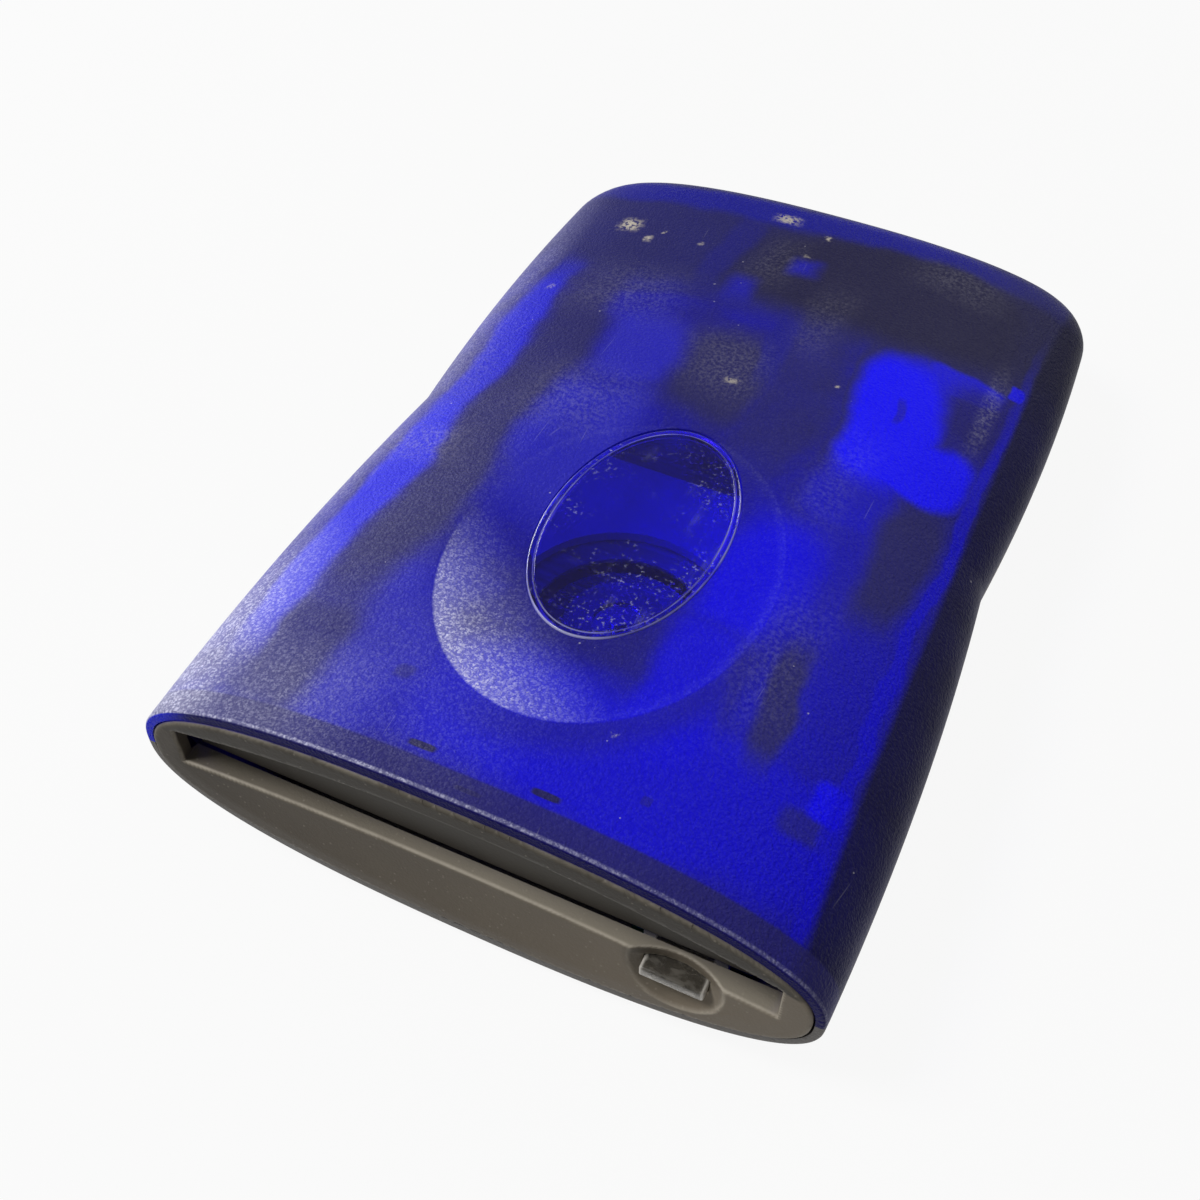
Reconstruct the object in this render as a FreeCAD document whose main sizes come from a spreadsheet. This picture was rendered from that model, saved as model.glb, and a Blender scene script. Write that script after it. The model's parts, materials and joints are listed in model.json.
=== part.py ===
import FreeCAD, Part
import math
import os
import re
import Sketcher

Vector = FreeCAD.Vector

# Driving dimensions, in millimetres. A depth is measured back from the rim of the case's front opening,
# a height up from the surface that the feet stand on, and x is positive to the right seen from the front.
dimensions = {
    # case
    "caseLength": 171.0,
    "frontHalfWidth": 56.3,
    "frontLobeHalfWidth": 57.2,
    "frontLobeDepth": 36.0,
    "waistHalfWidth": 54.8,
    "waistDepth": 85.0,
    "rearLobeHalfWidth": 56.8,
    "rearLobeDepth": 128.0,
    "rearHalfWidth": 54.9,
    "partingHeight": 21.1,
    "lowerShellDepth": 19.1,
    "frontRise": 19.3,
    "rearRise": 11.4,
    "sectionPower": 2.38,
    "rearCornerRadius": 15.0,
    "upperRearRadius": 9.0,
    "lowerRearRadius": 7.0,
    "shellWall": 2.2,
    "sideWall": 1.5,
    "shoulderFlats": 6.0,
    "bellyFlats": 16.0,
    "hollowFlats": 16.0,
    # dish and window in the top
    "dishDepth": 53.0,
    "dishFrontReach": 36.0,
    "dishRearReach": 55.0,
    "dishHalfWidth": 27.2,
    "dishHollow": 2.0,
    "dishLeastHalfWidth": 0.68,
    "windowDepth": 62.0,
    "windowHalfWidth": 15.6,
    "windowHalfLength": 26.4,
    "windowGap": 0.15,
    "windowLip": 1.5,
    "windowLipThickness": 1.1,
    "windowRise": 1.05,
    "windowCrown": 0.7,
    "windowArch": 0.45,
    "windowFlats": 40.0,
    # bezel
    "bezelProud": 0.4,
    "bezelGap": 0.3,
    "bezelPlate": 2.4,
    "bezelFlangeReach": 5.0,
    "bezelFlangeWall": 1.2,
    "bezelEdge": 0.5,
    "faceHollow": 1.4,
    "faceHollowHalfWidth": 51.5,
    "faceHollowHalfHeight": 13.6,
    "faceHollowHeight": 21.0,
    "mouthFlare": 0.7,
    "mouthSideHeight": 8.2,
    "mouthArchRise": 6.8,
    "mouthRearArchRise": 1.8,
    "ledgeReach": 3.55,
    "ledgeThickness": 1.4,
    "hookWidth": 3.2,
    "hookLength": 3.6,
    "hookThickness": 0.8,
    "leftHookX": -8.5,
    "rightHookX": 11.0,
    # eject button
    "buttonX": 33.8,
    "buttonHeight": 15.7,
    "buttonWidth": 10.1,
    "buttonThickness": 2.2,
    "buttonGap": 0.15,
    "buttonTravel": 1.2,
    "buttonCorner": 0.4,
    "buttonSeatGap": 0.1,
    "buttonFlangeWidth": 13.4,
    "buttonFlangeThickness": 1.0,
    "buttonFlangeTop": 17.8,
    "buttonFlangeBottom": 11.7,
    "buttonStemReach": 9.6,
    "buttonSpringHeight": 12.9,
    "buttonSpringRadius": 1.2,
    "buttonSpringWire": 0.35,
    "scoopHeight": 17.6,
    "scoopRadius": 8.3,
    "scoopHollow": 3.3,
    "scoopWall": 1.3,
    # disk bay
    "diskWidth": 98.0,
    "diskSideGap": 0.25,
    "bayFloorHeight": 19.4,
    "spindleDepth": 55.0,
    # slot flap
    "flapSideGap": 0.35,
    "flapWideTop": 27.2,
    "flapUpperHalfWidth": 45.5,
    "flapPivotHeight": 29.2,
    "flapPivotDepth": 5.7,
    "flapFaceDepth": 3.95,
    "flapThickness": 1.0,
    "flapBottomGap": 0.5,
    "flapArchRise": 1.8,
    "flapBarrelRadius": 0.95,
    "flapPinRadius": 0.6,
    "flapEarRadius": 1.45,
    "flapEarThickness": 1.3,
    "flapEarGap": 0.2,
    "flapSpringLength": 1.9,
    "flapSpringWall": 0.45,
    "pinGap": 0.05,
    # chassis
    "steel": 0.8,
    "chassisFloorTop": 17.0,
    "chassisHalfWidth": 50.9,
    "chassisFrontDepth": 7.5,
    "chassisBayEndDepth": 106.0,
    "chassisShoulderHalfWidth": 42.0,
    "chassisShoulderDepth": 130.0,
    "chassisTailHalfWidth": 36.0,
    "chassisEndDepth": 150.0,
    "chassisFlangeHeight": 5.5,
    "buttonNotchHalfWidth": 12.0,
    "buttonNotchDepth": 17.0,
    "chassisFrontScrewX": 18.0,
    "chassisFrontScrewDepth": 12.0,
    "chassisRearScrewX": 31.0,
    "chassisRearScrewDepth": 144.0,
    "motorWellRadius": 15.6,
    # rails
    "railWallGap": 0.2,
    "railFootWidth": 2.9,
    "railWallHeight": 2.6,
    "railFrontDepth": 8.5,
    "railRearDepth": 104.5,
    # sled
    "sledHalfWidth": 41.0,
    "sledFrontDepth": 24.0,
    "sledRearDepth": 90.7,
    "sledThickness": 1.5,
    "sledFloorGap": 0.3,
    "sledTravel": 14.0,
    "sledHoleRadius": 20.0,
    "sledRimWidth": 1.4,
    "sledRimHeight": 0.4,
    "sledTabInner": 26.0,
    "sledTabTop": 24.4,
    "sledTabThickness": 1.2,
    "catchX": -27.0,
    "catchWidth": 2.0,
    "catchReach": 7.3,
    "catchTop": 20.6,
    # sled springs
    "springX": 38.9,
    "springHeight": 20.6,
    "springRadius": 1.9,
    "springWire": 0.5,
    "springRearDepth": 112.5,
    "springPinRadius": 1.1,
    "springPinLength": 5.6,
    "springBracketHalfWidth": 2.6,
    "springBracketTop": 23.0,
    # spindle motor
    "liftTravel": 2.4,
    "motorPlateHeight": 9.6,
    "motorPlateThickness": 1.0,
    "motorPlateHalfWidth": 22.5,
    "motorPlateHalfLength": 14.0,
    "liftPinX": 19.4,
    "liftPinRadius": 1.2,
    "liftPinReach": 0.6,
    "statorRadius": 12.2,
    "statorHeight": 2.8,
    "statorPoles": 9.0,
    "statorSlot": 1.6,
    "statorSlotDepth": 5.0,
    "bearingRadius": 3.2,
    "rotorRadius": 14.2,
    "rotorGap": 0.4,
    "rotorTopThickness": 1.2,
    "hubRadius": 9.6,
    "hubEngagement": 1.2,
    "spindleRadius": 1.5,
    "spindleProud": 0.8,
    "magnetRingInner": 4.5,
    "magnetRingOuter": 8.4,
    "magnetRingDepth": 0.6,
    "drivePinOffset": 6.4,
    "drivePinRadius": 0.8,
    # head actuator
    "headTravel": 23.5,
    "yokeFrontDepth": 107.0,
    "yokeRearDepth": 149.0,
    "yokeFrontBar": 2.0,
    "yokeRearBar": 4.0,
    "yokeHeight": 8.0,
    "outerLegOuter": 22.0,
    "outerLegInner": 19.0,
    "innerLegOuter": 12.5,
    "innerLegInner": 9.5,
    "innerLegLow": 18.6,
    "innerLegHigh": 23.8,
    "magnetThickness": 1.8,
    "magnetEndGap": 1.5,
    "coilGap": 0.5,
    "coilWinding": 1.2,
    "coilLength": 8.0,
    "coilFrontDepth": 134.0,
    "carriageFrontDepth": 130.6,
    "carriageRearDepth": 143.0,
    "carriageFloorGap": 0.4,
    "carriageTop": 25.0,
    "shaftHeight": 19.2,
    "shaftRadius": 1.5,
    "clipDepth": 105.1,
    "clipThickness": 1.2,
    "clipHalfWidth": 2.8,
    "clipArmGap": 0.4,
    "armHalfWidth": 3.6,
    "armTipHalfWidth": 1.4,
    "armTipDepth": 107.4,
    "armThickness": 0.35,
    "mediumHeight": 23.0,
    "armSpread": 1.5,
    "headSide": 2.2,
    "headHeight": 0.95,
    # eject latch and solenoid
    "latchX": -33.5,
    "latchDepth": 113.0,
    "latchPinRadius": 1.0,
    "latchLow": 19.3,
    "latchThickness": 1.2,
    "latchHubRadius": 2.3,
    "latchCollarRadius": 2.0,
    "hookTipX": -30.2,
    "hookTipDepth": 107.8,
    "hookTipHalfWidth": 0.8,
    "plungerPinX": -38.4,
    "plungerDepth": 121.5,
    "plungerHeight": 22.4,
    "plungerRadius": 1.6,
    "plungerPinRadius": 0.6,
    "plungerHead": 1.2,
    "plungerLength": 12.4,
    "plungerGap": 0.1,
    "slotHalfWidthAcross": 0.95,
    "slotLength": 3.4,
    "latchArmMargin": 1.1,
    "solenoidLeftX": -33.0,
    "solenoidRightX": -22.8,
    "solenoidHalfDepth": 5.0,
    "solenoidHeight": 9.0,
    # circuit boards
    "boardThickness": 1.6,
    "mainBoardHeight": 9.4,
    "mainBoardHalfWidth": 37.0,
    "mainBoardFrontDepth": 79.0,
    "boardGap": 1.5,
    "postRadius": 2.6,
    "postGap": 0.4,
    "mainPostX": 32.0,
    "mainPostFrontDepth": 84.0,
    "mainPostRearDepth": 132.0,
    "rearBoardHeight": 8.6,
    "rearBoardHalfWidth": 27.0,
    "rearBoardSetBack": 5.1,
    "rearBoardLength": 14.0,
    "rearPostX": 21.0,
    "rearPostInset": 4.0,
    "chipHeight": 1.5,
    "controllerX": -13.0,
    "controllerDepth": 103.0,
    "controllerWidth": 14.0,
    "controllerLength": 14.0,
    "memoryX": 6.0,
    "memoryDepth": 104.0,
    "memoryWidth": 8.0,
    "memoryLength": 12.0,
    "driverX": 21.0,
    "driverDepth": 123.0,
    "driverWidth": 10.0,
    "driverLength": 10.0,
    "capacitorX": -26.0,
    "capacitorDepth": 124.0,
    "capacitorRadius": 2.4,
    "capacitorHeight": 3.6,
    "switchBoardHeight": 9.6,
    "switchBoardHalfWidth": 9.8,
    "switchBoardFrontDepth": 8.0,
    "switchBoardRearDepth": 22.0,
    "switchPostX": 5.8,
    "switchPostDepth": 18.5,
    "switchHalfWidth": 3.0,
    "switchHeight": 5.8,
    "switchRest": 0.2,
    "switchRearDepth": 16.4,
    "switchPlungerRadius": 0.9,
    "switchPlungerLength": 1.6,
    "lampOffset": 7.4,
    "lampDepth": 10.0,
    "lampRadius": 1.0,
    "lampLength": 2.4,
    "ribbonHalfWidth": 7.0,
    "ribbonThickness": 0.3,
    "ribbonRadius": 2.4,
    "ribbonRise": 2.0,
    # rear socket
    "socketX": 18.0,
    "socketWidth": 12.0,
    "socketHeight": 10.8,
    "socketLength": 16.0,
    "socketShell": 0.4,
    "socketGap": 0.25,
    "socketSetBack": 0.3,
    "socketFloor": 3.0,
    "socketTongueWidth": 5.6,
    "socketTongueHeight": 3.2,
    "pinholeX": -20.0,
    "pinholeHeight": 14.0,
    "pinholeRadius": 0.8,
    # screws and feet
    "bossX": 47.5,
    "bossDepth": 116.0,
    "rearBossX": 41.0,
    "rearBossDepth": 152.5,
    "bossRadius": 3.9,
    "bossSeatHeight": 13.0,
    "screwRadius": 1.3,
    "screwHeadRadius": 2.6,
    "screwHeadHeight": 1.8,
    "screwReach": 6.0,
    "screwGap": 0.1,
    "frameScrewReach": 5.0,
    "frameScrewHead": 1.3,
    "footX": 30.0,
    "footFrontDepth": 22.0,
    "footRearDepth": 146.0,
    "footRadius": 5.5,
    "footThickness": 1.7,
    "footRecess": 0.8,
    "footPadWall": 1.2,
    "footPadHeight": 5.0,
    "footGap": 0.1,
    # flat sides of the small round pieces, the feet and the wide discs
    "smallSides": 12.0,
    "footSides": 20.0,
    "discSides": 36.0,
}

# Places worked out from the driving dimensions.
places = {
    "face": "-caseLength / 2",
    "rear": "caseLength / 2",
    "rim": "face + bezelProud",
    "slotHalfWidth": "diskWidth / 2 + diskSideGap",
    "spindleY": "rim + spindleDepth",
    "bezelBack": "rim + bezelFlangeReach",
    "buttonLow": "buttonHeight - buttonThickness / 2",
    "buttonHigh": "buttonHeight + buttonThickness / 2",
    "buttonFlangeFront": "bezelBack + buttonSeatGap",
    "buttonFlangeRear": "buttonFlangeFront + buttonFlangeThickness",
    "flapY": "rim + flapPivotDepth",
    "flapFront": "rim + flapFaceDepth",
    "flapBottom": "bayFloorHeight + flapBottomGap",
    "flapCrown": "flapPivotHeight + flapBarrelRadius + flapArchRise",
    "flapArchRadius": "(flapUpperHalfWidth ^ 2 + flapArchRise ^ 2) / (2 * flapArchRise)",
    "flapPinEnd": "flapUpperHalfWidth + flapEarGap + flapEarThickness",
    "flapSpringX": "-flapUpperHalfWidth + flapEarGap / 2",
    "chassisLow": "chassisFloorTop - steel",
    "flangeInner": "chassisHalfWidth - steel",
    "railInner": "slotHalfWidth + railWallGap",
    "sledLow": "chassisFloorTop + sledFloorGap",
    "sledTop": "sledLow + sledThickness",
    "sledRear": "rim + sledRearDepth",
    "springRear": "rim + springRearDepth",
    "motorPlateTop": "motorPlateHeight + motorPlateThickness",
    "hubTop": "bayFloorHeight + hubEngagement - liftTravel",
    "spindleTop": "hubTop + spindleProud",
    "statorTop": "motorPlateTop + statorHeight",
    "rotorCeiling": "statorTop + rotorGap",
    "rotorTop": "rotorCeiling + rotorTopThickness",
    "yokeFront": "rim + yokeFrontDepth",
    "yokeRear": "rim + yokeRearDepth",
    "yokeTop": "chassisFloorTop + yokeHeight",
    "coilInner": "innerLegInner - coilGap",
    "coilOuter": "innerLegOuter + coilGap",
    "coilLow": "innerLegLow - coilGap",
    "coilHigh": "innerLegHigh + coilGap",
    "coilFront": "rim + coilFrontDepth",
    "carriageHalfWidth": "coilInner - coilWinding",
    "carriageLow": "chassisFloorTop + carriageFloorGap",
    "carriageFront": "rim + carriageFrontDepth",
    "carriageRear": "rim + carriageRearDepth",
    "lowerArmHeight": "mediumHeight - armSpread",
    "upperArmHeight": "mediumHeight + armSpread - armThickness",
    "armTip": "rim + armTipDepth",
    "switchFrontDepth": "buttonStemReach + buttonTravel + switchRest + switchPlungerLength",
    "latchY": "rim + latchDepth",
    "latchTop": "latchLow + latchThickness",
    "plungerY": "rim + plungerDepth",
    "rearBoardRear": "rear - rearBoardSetBack",
    "rearBoardFront": "rearBoardRear - rearBoardLength",
    "rearPostDepth": "rearBoardFront + rearPostInset - (rim)",
    "mainBoardRear": "rearBoardFront - boardGap",
    "mainBoardTop": "mainBoardHeight + boardThickness",
    "rearBoardTop": "rearBoardHeight + boardThickness",
    "switchBoardTop": "switchBoardHeight + boardThickness",
    "socketRear": "rear - socketSetBack",
    "footPadBottom": "footThickness - footRecess",
}

document = FreeCAD.newDocument("removable_disk_drive")
sheet = document.addObject("Spreadsheet::Sheet", "sizes")
for row, (alias, number) in enumerate(dimensions.items(), 1):
    sheet.set(f"A{row}", alias)
    sheet.set(f"B{row}", str(number))
    sheet.setAlias(f"B{row}", alias)
document.recompute()


def formula(text):
    """An expression on the sheet, with every place replaced by what it is worked out from."""
    def word(match):
        name = match.group(0)
        if name in places:
            return "(" + formula(places[name]) + ")"
        return "sizes." + name if name in dimensions else name
    return re.sub(r"[A-Za-z]+", word, str(text))


def value(text):
    """The number that an expression has."""
    return float(sheet.evalExpression(formula(text)))


size = {name: value(name) for name in list(dimensions) + list(places)}


def bind(item, **properties):
    for name, text in properties.items():
        item.setExpression(name, formula(text))


def put(item, x, y, z, axis="z"):
    """Place an item by its base point, with its own axis turned to x, y or z."""
    turns = {"z": (Vector(0, 0, 1), 0), "x": (Vector(0, 1, 0), 90), "y": (Vector(1, 0, 0), -90)}
    item.Placement = FreeCAD.Placement(Vector(value(x), value(y), value(z)), FreeCAD.Rotation(*turns[axis]))
    for coordinate, text in (("x", x), ("y", y), ("z", z)):
        item.setExpression(".Placement.Base." + coordinate, formula(text))
    return item


def box(name, x, y, z):
    """A block between two bounds on each axis, each pair written (low, high)."""
    item = document.addObject("Part::Box", name)
    for side, (low, high) in (("Length", x), ("Width", y), ("Height", z)):
        item.setExpression(side, formula(f"({high}) - ({low})"))
    return put(item, x[0], y[0], z[0])


def rod(name, x, y, z, radius, length, axis="z"):
    item = document.addObject("Part::Cylinder", name)
    bind(item, Radius=radius, Height=length)
    return put(item, x, y, z, axis)


def smallRod(name, x, y, z, radius, length, axis="z", sides="smallSides"):
    """A small round piece, drawn with a few flat sides that lie inside its circle."""
    item = document.addObject("Part::Prism", name)
    bind(item, Polygon=sides, Circumradius=radius, Height=length)
    return put(item, x, y, z, axis)


def fuse(name, items):
    item = document.addObject("Part::MultiFuse", name)
    item.Shapes = items
    return item


def common(name, items):
    item = document.addObject("Part::MultiCommon", name)
    item.Shapes = items
    return item


def cut(name, base, tools):
    item = document.addObject("Part::Cut", name)
    item.Base = base
    item.Tool = tools[0] if len(tools) == 1 else fuse(name + "_tools", tools)
    return item


def tube(name, x, y, z, outer, inner, length, axis="z", shape=rod):
    return cut(name, shape(name + "_outside", x, y, z, outer, length, axis),
               [shape(name + "_bore", x, y, z, inner, length, axis)])



def span(side, near, far):
    """Bounds on x of something between two distances from the middle, on one side."""
    return (near, far) if side > 0 else (f"-({far})", f"-({near})")


def formed(name, solid):
    """A piece whose curved form is worked out below, from sizes read off the sheet."""
    item = document.addObject("Part::Feature", name)
    item.Shape = solid
    item.Placement = FreeCAD.Placement()
    return item


def rectangle(x, y):
    return [(x[0], y[0]), (x[1], y[0]), (x[1], y[1]), (x[0], y[1])]


def circle(x, y, radius):
    return ("circle", x, y, radius)


def flatSided(x, y, radius, sides="smallSides"):
    """A round outline drawn with flat sides, as many as the pieces that go through it."""
    turns = [2 * math.pi * step / size[sides] for step in range(int(size[sides]))]
    return [(f"({x}) + ({radius}) * {round(math.cos(turn), 6)}", f"({y}) + ({radius}) * {round(math.sin(turn), 6)}")
            for turn in turns]


def sketch(body, plane, level, loops):
    """A sketch on one of the body's origin planes, every corner and circle tied to the sheet."""
    item = body.newObject("Sketcher::SketchObject", body.Name + "_sketch")
    origin = [feature for feature in body.Origin.OriginFeatures if feature.Role == plane + "_Plane"][0]
    item.AttachmentSupport = [(origin, "")]
    item.MapMode = "FlatFace"
    item.setExpression(".AttachmentOffset.Base.z", formula(f"-({level})" if plane == "XZ" else level))
    for loop in loops:
        first = item.GeometryCount
        if loop[0] == "circle":
            centre = Vector(value(loop[1]), value(loop[2]), 0)
            item.addGeometry(Part.Circle(centre, Vector(0, 0, 1), value(loop[3])), False)
            radius = item.addConstraint(Sketcher.Constraint("Radius", first, value(loop[3])))
            item.setExpression(f"Constraints[{radius}]", formula(loop[3]))
            ties = [(first, 3, loop[1], loop[2])]
        else:
            count = len(loop)
            points = [Vector(value(x), value(y), 0) for x, y in loop]
            for index in range(count):
                item.addGeometry(Part.LineSegment(points[index], points[(index + 1) % count]), False)
            for index in range(count):
                item.addConstraint(
                    Sketcher.Constraint("Coincident", first + index, 2, first + (index + 1) % count, 1))
            ties = [(first + index, 1, x, y) for index, (x, y) in enumerate(loop)]
        for geometry, point, x, y in ties:
            for kind, text in (("DistanceX", x), ("DistanceY", y)):
                tie = item.addConstraint(Sketcher.Constraint(kind, -1, 1, geometry, point, value(text)))
                item.setExpression(f"Constraints[{tie}]", formula(text))
    return item


def newBody(name):
    return document.addObject("PartDesign::Body", name)


def pad(body, plane, reach, loops):
    """Add the loops, drawn out from reach[0] to reach[1] along the plane's world axis."""
    item = body.newObject("PartDesign::Pad", body.Name + "_pad")
    item.Profile = sketch(body, plane, reach[0], loops)
    item.setExpression("Length", formula(f"({reach[1]}) - ({reach[0]})"))
    item.Reversed = plane == "XZ"
    return item


def pocket(body, plane, reach, loops):
    """Cut the loops away from reach[0] to reach[1], and make sure that something was cut."""
    document.recompute()
    before = body.Shape.Volume
    item = body.newObject("PartDesign::Pocket", body.Name + "_pocket")
    item.Profile = sketch(body, plane, reach[0] if plane == "XZ" else reach[1], loops)
    item.setExpression("Length", formula(f"({reach[1]}) - ({reach[0]})"))
    document.recompute()
    if body.Shape.Volume >= before:
        raise ValueError(body.Name + " has a pocket that cuts nothing")
    return item


def dress(body, kind, amount, chosen):
    """Fillet or chamfer the body's edges that a test picks."""
    document.recompute()
    base = body.Tip
    names = [f"Edge{number}" for number, edge in enumerate(base.Shape.Edges, 1) if chosen(edge)]
    item = body.newObject("PartDesign::" + kind, f"{body.Name}_{kind}")
    item.Base = (base, names)
    item.setExpression("Radius" if kind == "Fillet" else "Size", formula(amount))
    return item


def runsAlong(edge, axis):
    """True where an edge is straight and runs along one axis."""
    return edge.Curve.TypeId == "Part::GeomLine" and abs(getattr(edge.Curve.Direction, axis)) > 0.999


nodes = []


def keep(item, label):
    item.Label = label
    nodes.append(item)


# Outline of the case seen from above, from the side and from the front.
def throughKnots(depth, knots):
    """The parabola through three (depth, half width) knots."""
    total = 0
    for index, (ownDepth, width) in enumerate(knots):
        for other, (otherDepth, ignored) in enumerate(knots):
            if other != index:
                width *= (depth - otherDepth) / (ownDepth - otherDepth)
        total += width
    return total


def halfWidth(depth):
    """Half the case's width: two lobes that meet at the waist."""
    waist = (size["waistDepth"], size["waistHalfWidth"])
    if depth < size["waistDepth"]:
        return throughKnots(depth, ((0, size["frontHalfWidth"]),
                                    (size["frontLobeDepth"], size["frontLobeHalfWidth"]), waist))
    return throughKnots(depth, (waist, (size["rearLobeDepth"], size["rearLobeHalfWidth"]),
                                (size["caseLength"], size["rearHalfWidth"])))


def topRise(depth):
    """Height of the crown above the parting plane, before the rear rounding."""
    return size["frontRise"] - (size["frontRise"] - size["rearRise"]) * depth / size["caseLength"]


def rounding(distance, radius):
    """How far a quarter round of this radius draws in at a distance from its end."""
    if distance >= radius:
        return 0.0
    return radius - math.sqrt(radius ** 2 - (radius - distance) ** 2)


def sectionPoints(depth, width, rise, steps, start=0.0, end=math.pi):
    """Points of the section from the right side (0) over the top to the left side (pi)."""
    power = 2 / size["sectionPower"]
    points = []
    for step in range(steps + 1):
        angle = start + (end - start) * step / steps
        across = math.copysign(abs(math.cos(angle)) ** power, math.cos(angle)) * width
        points.append(Vector(across, size["rim"] + depth, size["partingHeight"] + rise * math.sin(angle) ** power))
    return points


def flats(points):
    """Short straight edges through the points."""
    return Part.makePolygon(points).Edges


def straight(start, end):
    return Part.LineSegment(start, end).toShape()


def caseDepths(stations, wall):
    """Depths of the sections: the given ones, then the round of the rear corners."""
    length = size["caseLength"] - size["bezelProud"] - wall
    corner = size["rearCornerRadius"] - wall
    turns = [0, 22, 45, 68, 90]
    return stations + [length - corner * (1 - math.sin(math.radians(turn))) for turn in turns]


def caseSection(depth, sense, wall, sides):
    """Half width and rise of a section, drawn in by a wall thickness."""
    toEnd = size["caseLength"] - size["bezelProud"] - wall - depth
    width = halfWidth(depth) - sides - rounding(toEnd, size["rearCornerRadius"] - wall)
    rise = topRise(depth) if sense > 0 else size["lowerShellDepth"]
    radius = size["upperRearRadius"] if sense > 0 else size["lowerRearRadius"]
    return width, rise - wall - rounding(toEnd, radius - wall)


def dishEdge(depth):
    """Half width of the dish at a depth, and how much of its hollow is left there."""
    reach = size["dishFrontReach"] if depth < size["dishDepth"] else size["dishRearReach"]
    left = max(0.0, 1 - ((depth - size["dishDepth"]) / reach) ** 2)
    return size["dishHalfWidth"] * math.sqrt(left), left


def topSection(depth):
    """The upper section: two shoulders, and between them the crown or the floor of the dish."""
    width, rise = caseSection(depth, 1, 0, 0)
    edge, left = dishEdge(depth)
    edge = max(edge, size["dishLeastHalfWidth"])
    turn = math.acos((edge / width) ** (size["sectionPower"] / 2))
    right = sectionPoints(depth, width, rise, int(size["shoulderFlats"]), 0, turn)
    leftSide = [Vector(-point.x, point.y, point.z) for point in reversed(right)]
    middle = Vector(0, right[0].y, size["partingHeight"] + rise - size["dishHollow"] * left)
    floor = Part.Arc(right[-1], middle, leftSide[0]).toShape()
    return Part.Wire(flats(right) + [floor] + flats(leftSide) + [straight(leftSide[-1], right[0])])


def bottomSection(depth):
    width, rise = caseSection(depth, -1, 0, 0)
    points = [Vector(point.x, point.y, 2 * size["partingHeight"] - point.z)
              for point in sectionPoints(depth, width, rise, int(size["bellyFlats"]))]
    return Part.makePolygon(points + [points[0]])


def hollow(sense, wall, sides, stations):
    """The room inside half the case, in flat facets, with a lower ceiling where the dish comes down."""
    wires = []
    lowFrom = size["dishDepth"] - size["dishFrontReach"] - 2 * size["dishHollow"]
    for depth in caseDepths(stations, wall):
        width, rise = caseSection(depth, sense, wall, sides)
        ceiling = rise
        if sense > 0 and lowFrom < depth < dishEnd + size["dishHollow"]:
            ceiling = min(rise, topRise(depth) - size["shellWall"] - size["dishHollow"])
        points = []
        for point in sectionPoints(depth, width, rise, int(size["hollowFlats"])):
            height = min(point.z - size["partingHeight"], ceiling)
            points.append(Vector(point.x, point.y, size["partingHeight"] + sense * height))
        wires.append(Part.makePolygon(points + [points[0]]))
    return Part.makeLoft(wires, True, True)


def dishStations():
    """Depths at even turns round the dish's outline, with the waist among them."""
    front = [size["dishDepth"] - size["dishFrontReach"] * math.sin(math.radians(turn)) for turn in (90, 68, 45, 22, 0)]
    waistTurn = math.degrees(math.asin((size["waistDepth"] - size["dishDepth"]) / size["dishRearReach"]))
    turns = [waistTurn / 2, waistTurn, 58, 76, 90]
    return front + [size["dishDepth"] + size["dishRearReach"] * math.sin(math.radians(turn)) for turn in turns]


def evenly(start, end, count):
    return [start + (end - start) * step / count for step in range(1, count)]


cornerStart = size["caseLength"] - size["bezelProud"] - size["rearCornerRadius"]
dishEnd = size["dishDepth"] + size["dishRearReach"]
bossPlaces = [(side * size[x], size[depth]) for x, depth in (("bossX", "bossDepth"), ("rearBossX", "rearBossDepth"))
              for side in (-1, 1)]
footPlaces = [(side * size["footX"], size[depth]) for depth in ("footFrontDepth", "footRearDepth")
              for side in (-1, 1)]
framePlaces = [(side * size[x], size[depth]) for side in (-1, 1) for x, depth in
               (("chassisFrontScrewX", "chassisFrontScrewDepth"), ("chassisRearScrewX", "chassisRearScrewDepth"))]


def oval(x, across, along, depth, low, high, sides):
    """An upright oval column whose flat sides lie inside the true curve."""
    corners = [Vector(x + across * math.cos(2 * math.pi * step / sides),
                      size["rim"] + depth + along * math.sin(2 * math.pi * step / sides), low)
               for step in range(int(sides))]
    return Part.Face(Part.makePolygon(corners + corners[:1])).extrude(Vector(0, 0, high - low))


def windowOval(across, along):
    parting = size["partingHeight"]
    return oval(0, across, along, size["windowDepth"], parting, parting + size["frontRise"], size["windowFlats"])


def column(x, depth, radius, low, high, sides=size["smallSides"]):
    return oval(x, radius, radius, depth, low, high, sides)


def lean(solid, depth, height):
    """Lean a solid, made round the origin, with the top of the case, and move it to its place."""
    slope = (size["frontRise"] - size["rearRise"]) / size["caseLength"]
    solid.rotate(Vector(0, 0, 0), Vector(1, 0, 0), -math.degrees(math.atan(slope)))
    solid.translate(Vector(0, size["rim"] + depth, height))
    return solid


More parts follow.
